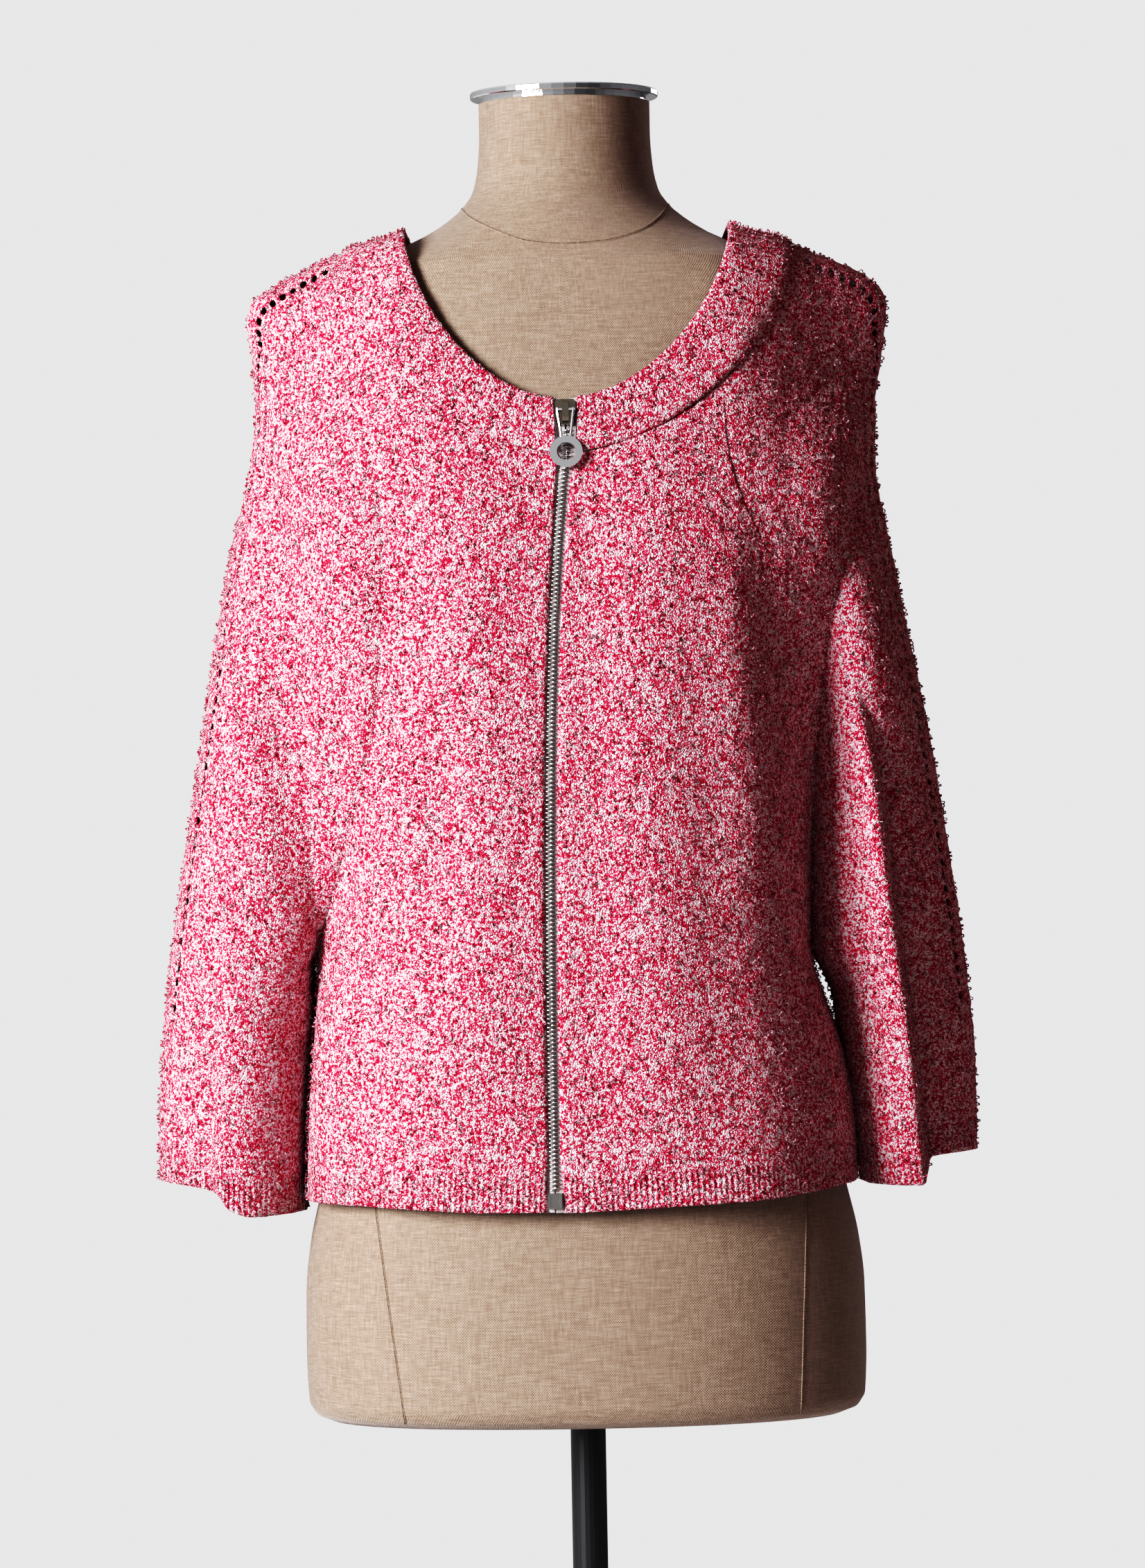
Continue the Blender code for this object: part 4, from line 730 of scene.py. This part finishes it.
def chestRise(side, flat):
    # height * exp(-((across - middle) / 33 mm)^2), faded in under the neck seam and out towards the hem
    middle, size = knitSetup["chest"][side]
    across, height = flat[..., 0], flat[..., 1]
    fade = ease((1.30 - height) / 0.09) * ease((height - 0.80) / 0.10) * ease(across / 0.03)
    return size * fade * np.exp(-((across - middle) / 0.033) ** 2)


def addSide(side):
    # front and back of one side, with their halves of the neckband
    along = rowLengths(side)
    v = along / along[-1]
    dip = knitSetup["seamDip"]
    for layer in ("front", "back"):
        panel = f"front{sideName[side]}" if layer == "front" else "backPanel"
        outwards = (0, -1 if layer == "front" else 1, 0)
        lin = np.linspace(0, 1, knitSetup["bodyColumns"][layer] + 1)
        tBody = lin + 0.3 * np.sin(math.pi * lin) / math.pi
        sleeveLin = np.linspace(0, 1, knitSetup["sleeveColumns"][layer] + 1)
        tSleeve = 0.5 - 0.5 * np.cos(sleeveLin * math.pi * 0.86)
        tSleeve = tSleeve / tSleeve[-1]
        bodyFlat, sleeveFlat = hungRows(side, layer, v, tBody, tSleeve)
        insets = borderInsets(layer, along)
        borderPart = borderFlat(side, layer, along[:, None] * np.ones_like(insets), insets)
        body = clothPoints(side, layer, bodyFlat, "body")
        sleeve = clothPoints(side, layer, np.concatenate([sleeveFlat, borderPart], 1), "sleeve")
        below = v >= cut["underarmRow"]
        body[below, -1] = seamPoints(side, bodyFlat[below, -1], "body")
        sleeve[below, 0] = seamPoints(side, sleeveFlat[below, 0], "sleeve")
        sleeve[:, -1] = seamPoints(side, borderPart[:, -1], "sleeve")
        if layer == "back":
            body[:, 0] = clothPoints(sides[0], layer, bodyFlat[:, 0], "body")
        # lengths for the ribs: across at the lowest row, and up from it
        widthBody, widthSleeve = lengthOver(body[-1], 0), lengthOver(sleeve[-1], 0)
        upBody, upSleeve = lengthOver(body[::-1], 0)[::-1], lengthOver(sleeve[::-1], 0)[::-1]
        uvBody = np.stack([np.broadcast_to(widthBody, upBody.shape), upBody], -1)
        uvSleeve = np.stack([np.broadcast_to(widthSleeve + 0.4, upSleeve.shape), upSleeve], -1)
        neckDip = -dip * np.exp(-np.arange(len(v)) / 1.3)[:, None]
        riseBody = neckDip + np.zeros(upBody.shape)
        riseSleeve = neckDip + np.zeros(upSleeve.shape)
        if layer == "front":
            riseBody += edgeRoll(len(tBody), -0.0010, -0.0002) + chestRise(side, bodyFlat)
        seamRow = ease((v - cut["underarmRow"]) / 0.03)
        riseBody[:, -3:] -= (seamRow[:, None] * dip * np.array([0.2, 0.6, 1.0]))
        riseSleeve[:, :3] -= (seamRow[:, None] * dip * np.array([1.0, 0.6, 0.2]))
        addPatch(panel, body, gridFaces(*upBody.shape), uvBody, riseBody, outwards)
        rows, columns = upSleeve.shape
        faces = gridFaces(rows, columns)
        if layer == "front":
            i, j = np.divmod(np.arange((rows - 1) * (columns - 1)), columns - 1)
            firstCell = len(tSleeve) + 1
            cell = (i >= 4) & (i < 4 + 4 * cut["holes"]) & (j >= firstCell) & (j < firstCell + 4)
            faces = faces[~cell]
            flat, ring, run, inset, rim = eyeletRings(side, along)
            points = clothPoints(side, "front", flat, "sleeve")
            u = np.interp(-inset, -insets[-1], widthSleeve[len(tSleeve):]) + 0.4
            up = np.interp(run, along, upSleeve[:, firstCell + 2])
            addPatch(panel, points, ring, np.stack([u, up], -1), np.where(rim, -0.0006, 0.0002), outwards)
        addPatch(panel, sleeve, faces, uvSleeve, riseSleeve, outwards)
        neckFlat = np.concatenate([sleeveFlat[0], borderPart[0]])
        addBand(side, layer, body[0], sleeve[0], bodyFlat[0], neckFlat, tBody, tSleeve, insets[0], outwards)


def addBand(side, layer, body, sleeve, bodyFlat, sleeveFlat, tBody, tSleeve, insets, outwards):
    # the band beside the neckline: straight lines from the seam to the neck's edge
    panel = f"neckband{sideName[side]}" if layer == "front" else "neckbandBack"
    top = borderStart(side, layer)[0]
    tBorder = 1 - (1 - top) * insets / cut["border"]
    t = np.concatenate([0.5 * tBody, 0.5 + (top - 0.5) * tSleeve[1:], tBorder])
    outer = np.concatenate([bodyFlat, sleeveFlat[1:]])
    inner = neckPoint(side, layer, t, "edge")
    k = np.linspace(0, 1, knitSetup["bandRows"] + 1)[:, None]
    flat = outer + (inner - outer) * k[..., None]
    heights = np.linspace(1.3600, 1.3995, 80)
    slope = np.interp(-flat[..., 0], -read(outlineTables[side], "half", heights), heights)
    lift = ease((t - top) / (1 - top))
    flat[..., 1] = flat[..., 1] + lift * (slope - flat[..., 1])
    points = clothPoints(side, layer, flat)
    points[:, -1] = seamPoints(side, flat[:, -1], "sleeve")
    points[0] = np.concatenate([body, sleeve[1:]])
    if layer == "back":
        points[:, 0] = clothPoints(sides[0], layer, flat[:, 0])
        rise = (cut["bandExtra"] + cut["bandRise"][-1]) * np.minimum(1, k * 4) + np.zeros(flat.shape[:2])
    else:
        roll = np.sin(math.pi * np.minimum(1, 0.35 + 1.1 * k))
        rise = cut["bandExtra"] + cut["bandRise"][side] * (0.55 + 0.45 * roll)
        rise = rise * (0.55 + 0.45 * ease(k * 8)) + edgeRoll(len(t), -0.0010, -0.0002)
    rise = rise - 0.0008 * ease((k - 0.93) / 0.07)
    across = np.broadcast_to(lengthOver(points[0], 0), flat.shape[:2])
    uv = np.stack([across + 0.9, lengthOver(points[::-1], 0)[::-1]], -1)
    addPatch(panel, points, gridFaces(*flat.shape[:2]), uv, rise, outwards)


def buildCardigan(material):
    # welds the patches, takes normals over the whole garment, and gives each panel its wall
    for side in sides:
        addSide(side)
    counts = np.cumsum([0] + [len(p["points"]) for p in patches])
    points = np.concatenate([p["points"] for p in patches])
    _, first, weld = np.unique(np.round(points * 2e5).astype(np.int64), axis=0, return_index=True,
                               return_inverse=True)
    weld = weld.ravel()
    shared = points[first]
    allFaces = np.concatenate([weld[p["faces"] + n] for p, n in zip(patches, counts)])
    normals = pointNormals(shared, allFaces)
    relief = knitSetup["lumpDepth"] * lumps(shared, knitSetup["lumpSize"], 5)
    relief += knitSetup["curlDepth"] * lumps(shared + 3.1, knitSetup["curlSize"], 6)
    built = {}
    for panel in dict.fromkeys(p["panel"] for p in patches):
        mine = [k for k, p in enumerate(patches) if p["panel"] == panel]
        ids = np.concatenate([weld[counts[k]:counts[k + 1]] for k in mine])
        faces = np.concatenate([weld[patches[k]["faces"] + counts[k]] for k in mine])
        uv, rise = (np.concatenate([patches[k][name] for k in mine]) for name in ("uv", "rise"))
        used, where = np.unique(ids, return_index=True)
        renumber = np.zeros(len(shared), np.int64)
        renumber[used] = np.arange(len(used))
        raised = rise[where] + relief[used] + cut["wall"] / 2
        outside = shared[used] + normals[used] * raised[:, None]
        piece = meshObject(panel, outside, renumber[faces], uv[where])
        thick = piece.modifiers.new("wall", "SOLIDIFY")
        thick.thickness = cut["wall"]
        thick.offset = -1
        thick.use_quality_normals = False
        piece.data.materials.append(material)
        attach(piece, "root")
        built[panel] = piece
    return built


# Curls that stand off the knit

curlSetup = {
    "spacing": 0.0072,
    "rings": 4,
    "length": (0.0018, 0.0036),
    "height": (0.0008, 0.0023),
    "radius": (0.00042, 0.00066),
    "turn": 0.0007,
}


def buildCurls(panels, material):
    # little arches of yarn: p + t s L / 2 + (n H + b K) (1 - s^2) for s from -1 to 1, as three-sided tubes
    chance = np.random.default_rng(11)
    rings = curlSetup["rings"]
    s = np.linspace(-1, 1, rings)[:, None]
    corner = np.arange(3) * 2 * math.pi / 3
    for name, piece in panels.items():
        mesh = piece.data
        count, corners = len(mesh.polygons), np.zeros(len(mesh.polygons) * 3, np.float32)
        mesh.polygons.foreach_get("center", corners)
        centres = corners.reshape(-1, 3).astype(float)
        mesh.polygons.foreach_get("normal", corners)
        facing = corners.reshape(-1, 3).astype(float)
        area = np.zeros(count, np.float32)
        mesh.polygons.foreach_get("area", area)
        chosen = np.flatnonzero(chance.random(count) < area / curlSetup["spacing"] ** 2)
        n = len(chosen)
        length, height, radius = (chance.uniform(*curlSetup[key], (n, 1, 1))
                                  for key in ("length", "height", "radius"))
        turn = chance.uniform(-1, 1, (n, 1, 1)) * curlSetup["turn"]
        normal = unit(facing[chosen])[:, None]
        tangent = unit(np.cross(normal, chance.normal(size=(n, 1, 3))))
        arch = 1 - s ** 2
        line = centres[chosen][:, None] + tangent * s * length / 2
        line = line + (normal * height + np.cross(normal, tangent) * turn) * arch
        along = unit(np.gradient(line, axis=1))
        side = unit(np.cross(along, normal))
        up = np.cross(side, along)
        wide = radius * (1 - 0.45 * s ** 2)
        ring = line[:, :, None] + (side * wide)[:, :, None] * np.cos(corner)[:, None]
        ring = ring + (up * wide)[:, :, None] * np.sin(corner)[:, None]
        last = (rings - 1) * 3
        ends = np.array([[2, 1, 0, 0], [last, last + 1, last + 2, last + 2]])
        one = np.concatenate([gridFaces(rings, 3, closed=True), ends])
        faces = one[None] + (np.arange(n) * rings * 3)[:, None, None]
        plainUv = np.full((n * rings * 3, 2), 0.5)
        curls = meshObject(f"curls{name[0].upper()}{name[1:]}", ring.reshape(-1, 3), faces.reshape(-1, 4),
                           plainUv)
        curls.data.materials.append(material)
        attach(curls, "root")
        print(curls.name, n)


# Finishes

boucleColours = {
    # shade: dark maroon, painted shade for the gaps between grains and the shadowed yarn
    "shade": (0.22, 0.003, 0.018),
    "crimson": (0.60, 0.018, 0.075),
    "rose": (0.76, 0.13, 0.235),
    "petal": (0.90, 0.50, 0.60),
    "white": (0.97, 0.90, 0.93),
}


def boucleMaterial():
    # grains of yarn: cells 1 mm apart, each with its own random tone, round on top; darker between the
    # grains, partly their crimson ground and partly painted shade
    material, coords = newMaterial("boucle")
    warp = coords.noise(700, 1.0, out=1).moved((0.5, 0.5, 0.5), "SUBTRACT").scaled(0.0009)
    bent = coords.moved(warp)
    gap, shade = coords.cells(bent, 880.0)
    fibre = coords.noise(1700, 1.0)
    streak = bent.noise(430, 1.0)
    clump = coords.noise(110, 3.0, 0.6)
    # the gap term darkens the colour between grains: partly the crimson ground, partly painted shade
    level = (shade * 0.38 + (streak - 0.5) * 0.85 + (fibre - 0.5) * 0.8 + (clump - 0.5) * 0.30 + 0.33
             - (gap - 0.35) * 0.38)
    c = boucleColours
    stops = [(0.0, c["shade"]), (0.20, c["crimson"]), (0.35, c["crimson"]), (0.43, c["rose"]),
             (0.52, c["petal"]), (0.62, c["white"]), (1.0, c["white"])]
    marl = level.ramp(stops)
    lurex, spark = coords.cells(coords, 760.0)
    thread = (1 - lurex.between(0.25, 0.45)) * spark.between(0.955, 0.96)
    colour = thread.mixed(marl, (0.86, 0.85, 0.86))
    # ribs 3.5 mm apart within 2 cm of the hem and cuffs: lengths across and up are the piece's own UV
    edge = coords.node("ShaderNodeUVMap")
    along, up = edge.axis(0), edge.axis(1)
    rib = coords.math("SINE", along * (2 * math.pi / 0.0035))
    hem = (1 - up.between(0.018, 0.024)) * (1 - along.between(0.86, 0.88) * 0.6)
    paintedFurrowShade = (1 - rib.between(-0.9, 0.1)) * hem
    # painted shade: the colour is darkened towards deep red in the furrows between ribs
    colour = (paintedFurrowShade * 0.30).mixed(colour, (0.42, 0.02, 0.07), "MULTIPLY")
    height = (1 - gap) * 0.9 + shade * 0.3 + fibre * 0.3 + streak * 0.4 + rib * hem * 0.4
    finishMaterial(material, coords, Base_Color=colour, Roughness=0.86, Metallic=thread * 0.9,
                   Specular_IOR_Level=0.1, Normal=height.bump(1.0, 0.0016))
    return material


def linenMaterial():
    # a plain weave of slubby threads, 1.8 mm to a pair, stretched over the form
    material, coords = newMaterial("linen")
    wander = coords.noise(60, 2.0, out=1).moved((0.5, 0.5, 0.5), "SUBTRACT").scaled(0.0012)
    place = coords.moved(wander)
    around = coords.math("ARCTAN2", place.axis(0), place.axis(1)) * 0.15
    warpThread = coords.math("SINE", around * (2 * math.pi / 0.0018))
    weft = coords.math("SINE", place.axis(2) * (2 * math.pi / 0.0017))
    cloth = warpThread * weft
    slubs = coords.moved((1.0, 1.0, 14.0), "MULTIPLY").noise(95, 3.0, 0.65)
    uprights = coords.moved((9.0, 9.0, 1.0), "MULTIPLY").noise(85, 3.0, 0.65)
    tone = cloth * 0.17 + (slubs - 0.5) * 0.85 + (uprights - 0.5) * 0.6 + 0.5
    stops = [(0.0, (0.135, 0.092, 0.060)), (0.40, (0.255, 0.190, 0.140)), (0.62, (0.345, 0.275, 0.215)),
             (1.0, (0.52, 0.43, 0.35))]
    colour = tone.ramp(stops)
    height = cloth * 0.5 + slubs * 0.9 + uprights * 0.6
    finishMaterial(material, coords, Base_Color=colour, Roughness=0.62, Specular_IOR_Level=0.35,
                   Sheen_Weight=0.35, Sheen_Roughness=0.45, Normal=height.bump(0.45, 0.0006))
    return material


def threadMaterial():
    # brown thread in darker and lighter grains, in the groove between the seam's welts
    material, coords = newMaterial("seamThread")
    tone = coords.noise(900, 1.0)
    stops = [(0.35, (0.05, 0.030, 0.018)), (0.65, (0.20, 0.14, 0.095))]
    colour = tone.ramp(stops)
    finishMaterial(material, coords, Base_Color=colour, Roughness=0.8)
    return material


def metalMaterial(name, colour, roughness, wear=0.06, metallic=1.0):
    material, coords = newMaterial(name)
    brushed = coords.moved((1.0, 1.0, 6.0), "MULTIPLY").noise(420, 3.0)
    shown = (coords.noise(140, 2.0) * 0.35).mixed(colour, tuple(c * 0.82 for c in colour))
    finishMaterial(material, coords, Base_Color=shown, Metallic=metallic,
                   Roughness=(brushed - 0.5) * wear + roughness, Normal=brushed.bump(0.06, 0.0002))
    return material


def tapeMaterial():
    material, coords = newMaterial("zipTape")
    twill = coords.math("SINE", (coords.axis(2) + coords.axis(0)) * (2 * math.pi / 0.0009))
    tone = twill * 0.5 + coords.noise(900, 2.0)
    stops = [(0.0, (0.42, 0.39, 0.40)), (1.0, (0.68, 0.66, 0.67))]
    colour = tone.ramp(stops)
    finishMaterial(material, coords, Base_Color=colour, Roughness=0.8, Normal=tone.bump(0.3, 0.0003))
    return material


def dress(node, material):
    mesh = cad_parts[node].data
    for i in range(len(mesh.materials)):
        mesh.materials[i] = material
    if not len(mesh.materials):
        mesh.materials.append(material)


# The dress form: the frame's sections as one smooth loft

formTable = tableOf(
    ("height", "half", "front", "back", "power"), (0.6590, 0.1600, 0.0980, 0.1020, 2.25),
    (0.6625, 0.1690, 0.1065, 0.1105, 2.25), (0.6710, 0.1738, 0.1112, 0.1152, 2.25),
    (0.7000, 0.1750, 0.1125, 0.1165, 2.25), (0.7400, 0.1745, 0.1120, 0.1160, 2.25),
    (0.7700, 0.1712, 0.1105, 0.1148, 2.25), (0.8000, 0.1645, 0.1070, 0.1115, 2.25),
    (0.8300, 0.1580, 0.1040, 0.1080, 2.25), (0.8700, 0.1510, 0.1010, 0.1030, 2.25),
    (0.9100, 0.1380, 0.0970, 0.0970, 2.25), (0.9530, 0.1270, 0.0945, 0.0915, 2.25),
    (1.0000, 0.1210, 0.0930, 0.0865, 2.25), (1.0500, 0.1235, 0.0960, 0.0855, 2.25),
    (1.1000, 0.1300, 0.1030, 0.0870, 2.25), (1.1500, 0.1380, 0.1115, 0.0895, 2.25),
    (1.1900, 0.1440, 0.1160, 0.0905, 2.25), (1.2300, 0.1500, 0.1125, 0.0920, 2.25),
    (1.2700, 0.1580, 0.1048, 0.0925, 2.25), (1.3100, 0.1690, 0.0960, 0.0905, 2.25),
    (1.3350, 0.1760, 0.0905, 0.0885, 2.25), (1.3480, 0.1760, 0.0875, 0.0870, 2.25),
    (1.3590, 0.1700, 0.0855, 0.0855, 2.25), (1.3680, 0.1580, 0.0835, 0.0840, 2.25),
    (1.3773, 0.1430, 0.0810, 0.0820, 2.25), (1.3817, 0.1260, 0.0785, 0.0795, 2.22),
    (1.3890, 0.1060, 0.0755, 0.0765, 2.18), (1.3960, 0.0900, 0.0722, 0.0735, 2.12),
    (1.4040, 0.0770, 0.0680, 0.0695, 2.08), (1.4120, 0.0670, 0.0632, 0.0655, 2.04),
    (1.4240, 0.0583, 0.0578, 0.0605, 2.0), (1.4400, 0.0548, 0.0540, 0.0560, 2.0),
    (1.4600, 0.0535, 0.0528, 0.0540, 2.0), (1.4790, 0.0535, 0.0528, 0.0535, 2.0))


def closedLoft(rings):
    # faces of a stack of rings, with the first and last closed to their middles
    count, around = rings.shape[:2]
    faces = gridFaces(count, around, closed=True)
    middles = np.array([rings[0].mean(axis=0), rings[-1].mean(axis=0)])
    points = np.concatenate([rings.reshape(-1, 3), middles])
    i = np.arange(around)
    j = (i + 1) % around
    low, high = count * around, count * around + 1
    last = (count - 1) * around
    caps = np.concatenate([np.stack([i * 0 + low, j, i, i], -1),
                           np.stack([i * 0 + high, last + i, last + j, last + j], -1)])
    return points, np.concatenate([faces, caps])


def formThin(across, height):
    # the form's depth loses 60 percent between 90 and 190 mm out, near the shoulders' ends
    return 1 - 0.60 * ease((np.abs(across) - 0.090) / 0.100) * ease((height - 1.20) / 0.12)


def buildForm(material):
    # a squarish oval |x/a|^p + |y/b|^p = 1 at each height, thinner towards the shoulders' ends
    knots = formTable["height"]
    heights = np.unique(np.concatenate([knots, np.linspace(knots[0], knots[-1], 170)]))[:, None]
    angle = np.linspace(0, 2 * math.pi, 193)[:-1][None, :]
    power = 2 / read(formTable, "power", heights)
    across = read(formTable, "half", heights) * np.sign(np.cos(angle)) * np.abs(np.cos(angle)) ** power
    out = np.where(np.sin(angle) < 0, read(formTable, "front", heights), read(formTable, "back", heights))
    y = out * np.sign(np.sin(angle)) * np.abs(np.sin(angle)) ** power
    rings = np.stack([across, y * formThin(across, heights), heights + 0 * across], -1)
    points, faces = closedLoft(rings)
    torso = meshObject("linenForm", points, faces)
    torso.data.set_sharp_from_angle(angle=math.radians(40))
    torso.data.materials.append(material)
    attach(torso, "root")
    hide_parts("form_torso")
    return torso


# The form's sewn seams: two thin welts side by side along each line

seamLines = {
    "neck": tableOf(("across", "height"), (-0.0650, 1.4135), (-0.0600, 1.4060), (-0.0450, 1.3960),
                    (-0.0220, 1.3870), (0.0000, 1.3850), (0.0220, 1.3865), (0.0450, 1.3930),
                    (0.0580, 1.4030), (0.0645, 1.4135)),
    "princessRight": tableOf(("across", "height"), (-0.1400, 0.8900), (-0.1275, 0.7890), (-0.1120, 0.6630)),
    "princessLeft": tableOf(("across", "height"), (0.1420, 0.8700), (0.1370, 0.7850), (0.1312, 0.6640)),
}
seamSetup = {"radius": 0.00042, "apart": 0.00055, "threadLift": 0.00012, "steps": 90, "corners": 6}


def formFront(across, height):
    # y of the form's front over (x, z): -b (1 - |x/a|^p)^(1/p), thinned near the shoulders
    a, b, p = (read(formTable, name, height) for name in ("half", "front", "power"))
    t = np.clip(np.abs(across) / a, 0, 0.99)
    return -b * (1 - t ** p) ** (1 / p) * formThin(across, height)


def buildFormSeams(material, thread):
    parts = {1: ([], []), 0: ([], [])}
    for name, line in seamLines.items():
        run = np.concatenate([[0], np.cumsum(np.hypot(np.diff(line["across"]), np.diff(line["height"])))])
        t = np.linspace(0, run[-1], seamSetup["steps"])
        table = {"run": run, **line}
        flat = np.stack([read(table, key, t, by="run") for key in ("across", "height")], -1)
        path = np.stack([flat[:, 0], formFront(flat[:, 0], flat[:, 1]), flat[:, 1]], -1)
        along = unit(np.gradient(path, axis=0))
        ahead = flat + np.array([1e-4, 0.0])
        beside = unit(np.stack([ahead[:, 0], formFront(ahead[:, 0], ahead[:, 1]), ahead[:, 1]], -1) - path)
        out = unit(np.cross(beside, along))
        out *= np.sign(-out[:, 1:2])
        side = np.cross(along, out)
        corner = np.arange(seamSetup["corners"]) * 2 * math.pi / seamSetup["corners"]
        for way in (-1, 0, 1):
            welts, faces = parts[abs(way)]
            lift = seamSetup["threadLift"] if way == 0 else 0
            middle = path + side * way * seamSetup["apart"] + out * lift
            spoke = side[:, None] * np.cos(corner)[:, None] + out[:, None] * np.sin(corner)[:, None]
            ring = middle[:, None] + seamSetup["radius"] * spoke
            points, tube = closedLoft(ring)
            if (faceNormals(points, tube)[0] @ (points[tube[0, 0]] - middle[0])) < 0:
                tube = tube[:, ::-1]
            faces.append(tube + sum(len(w) for w in welts))
            welts.append(points)
    for name, kind, finish in (("formSeams", 1, material), ("formStitches", 0, thread)):
        seams = meshObject(name, np.concatenate(parts[kind][0]), np.concatenate(parts[kind][1]))
        seams.data.materials.append(finish)
        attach(seams, "root")


# The zip's closed teeth

teethSetup = {"pitch": 0.0026, "low": 0.8062, "high": 1.2700, "reach": 0.0033}


def zipPath():
    # middle of the zip from hem to neck, with directions up and out, read off both fronts' edges
    v = np.linspace(1, 0, 400)
    heights = np.linspace(0.795, 1.284, 500)
    edges = []
    for side in sides:
        line = clothPoints(side, "front", middlePoint(side, "front", v), "body")
        top = clothPoints(side, "front", np.stack([zipEdge(side, heights[-40:]), heights[-40:]], -1))
        line = np.concatenate([line, top[top[:, 2] > line[-1, 2] + 1e-4]])
        edges.append(np.stack([np.interp(heights, line[:, 2], line[:, k]) for k in range(3)], -1))
    middle = np.mean(edges, axis=0)
    up = unit(np.gradient(middle, axis=0))
    out = unit(np.cross(np.array([1.0, 0, 0]), up))
    return middle, up, out


def alongZip(height):
    # the zip's middle and its directions to the side, up and out at these heights
    middle, up, out = zipPath()

    def pick(values):
        return np.stack([np.interp(height, middle[:, 2], values[:, k]) for k in range(3)], -1)

    return pick(middle), np.cross(pick(up), pick(out)), pick(up), pick(out)


def buildTeeth(material):
    # each tooth is five octagonal sections from its head at the middle to its clamp on the tape
    count = int((teethSetup["high"] - teethSetup["low"]) / teethSetup["pitch"])
    heights = teethSetup["low"] + teethSetup["pitch"] * (np.arange(2 * count) + 0.5) / 2
    way = np.where(np.arange(2 * count) % 2, 1.0, -1.0)
    sections = tableOf(("across", "half", "low", "high"), (-0.00075, 0.00045, -0.0004, 0.0006),
                       (-0.0004, 0.00072, -0.0007, 0.0011), (0.0008, 0.00068, -0.0008, 0.0013),
                       (0.0028, 0.00060, -0.0008, 0.0012), (0.0033, 0.00035, -0.0005, 0.0007))
    turn = np.linspace(0, 2 * math.pi, 9)[:-1] + math.pi / 8
    square = 0.86 * np.stack([np.sign(np.cos(turn)) * np.abs(np.cos(turn)) ** 0.5,
                              np.sign(np.sin(turn)) * np.abs(np.sin(turn)) ** 0.5], -1)
    middle, right, up, out = alongZip(heights)
    along = sections["across"][None, :, None] * way[:, None, None] * np.ones((1, 1, 8))
    tall = sections["half"][None, :, None] * square[None, None, :, 0] * np.ones((len(way), 1, 1))
    centre, half = (sections["high"] + sections["low"]) / 2, (sections["high"] - sections["low"]) / 2
    deep = centre[None, :, None] + half[None, :, None] * square[None, None, :, 1] * np.ones((len(way), 1, 1))
    middle, right, up, out = (values.reshape(len(way), 1, 1, 3) for values in (middle, right, up, out))
    points = middle + right * along[..., None] + up * tall[..., None] + out * deep[..., None]
    one, faces = closedLoft(points[0])
    every = np.concatenate([points.reshape(len(way), -1, 3), points[:, [0, -1]].mean(axis=2)], 1)
    faces = faces[None] + (np.arange(len(way)) * len(one))[:, None, None]
    faces[way > 0] = faces[way > 0][..., ::-1]
    # a tooth whose faces point at its own middle is turned inside out
    outwards = every[0][faces[0]].mean(axis=1) - every[0].mean(axis=0)
    inwards = (faceNormals(every[0], faces[0]) * outwards).sum() < 0
    faces = faces.reshape(-1, 4)[:, ::-1] if inwards else faces.reshape(-1, 4)
    teeth = meshObject("zipTeeth", every.reshape(-1, 3), faces)
    teeth.data.set_sharp_from_angle(angle=math.radians(50))
    teeth.data.materials.append(material)
    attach(teeth, "root")
    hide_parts("zip_chain")
    return teeth


# Build

addCamera()
for name, setup in lightSetup.items():
    addLight(name, setup)
addRoom()
addTones()
print("camera, light and floor")
knit = boucleMaterial()
panels = buildCardigan(knit)
# each panel's node, its cut's width and length, and its area
panelCuts = {
    "frontRight": ("front_right", (0.34, 0.62), 0.165),
    "frontLeft": ("front_left", (0.33, 0.62), 0.170),
    "backPanel": ("back", (0.66, 0.62), 0.325),
    "neckbandRight": ("neckband_right", (0.36, 0.030), 0.0093),
    "neckbandLeft": ("neckband_left", (0.36, 0.030), 0.0094),
    "neckbandBack": ("neckband_back", (0.36, 0.047), 0.0162),
}
for name, piece in panels.items():
    node, flat, area = panelCuts[name]
    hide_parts(node)
print("cardigan:", {name: len(piece.data.polygons) for name, piece in panels.items()})
buildCurls(panels, knit)
linen = linenMaterial()
buildForm(linen)
buildFormSeams(linen, threadMaterial())
dress("neck_cap", metalMaterial("chrome", (0.80, 0.80, 0.81), 0.12))
black = metalMaterial("blackSteel", (0.015, 0.015, 0.017), 0.34, metallic=0.0)
for name in ("pole", "pole_collar", "base_plate"):
    dress(name, black)
print("dress form and stand")
tape = tapeMaterial()
for name in ("zip_tape_right", "zip_tape_left"):
    dress(name, tape)
buildTeeth(metalMaterial("zipTeeth", (0.50, 0.49, 0.47), 0.30))
dress("zip_slider", metalMaterial("darkNickel", (0.25, 0.22, 0.185), 0.28))
dress("zip_box", metalMaterial("boxNickel", (0.55, 0.53, 0.50), 0.26))
dress("zip_pull", metalMaterial("pullNickel", (0.72, 0.72, 0.73), 0.18))
print("zip")
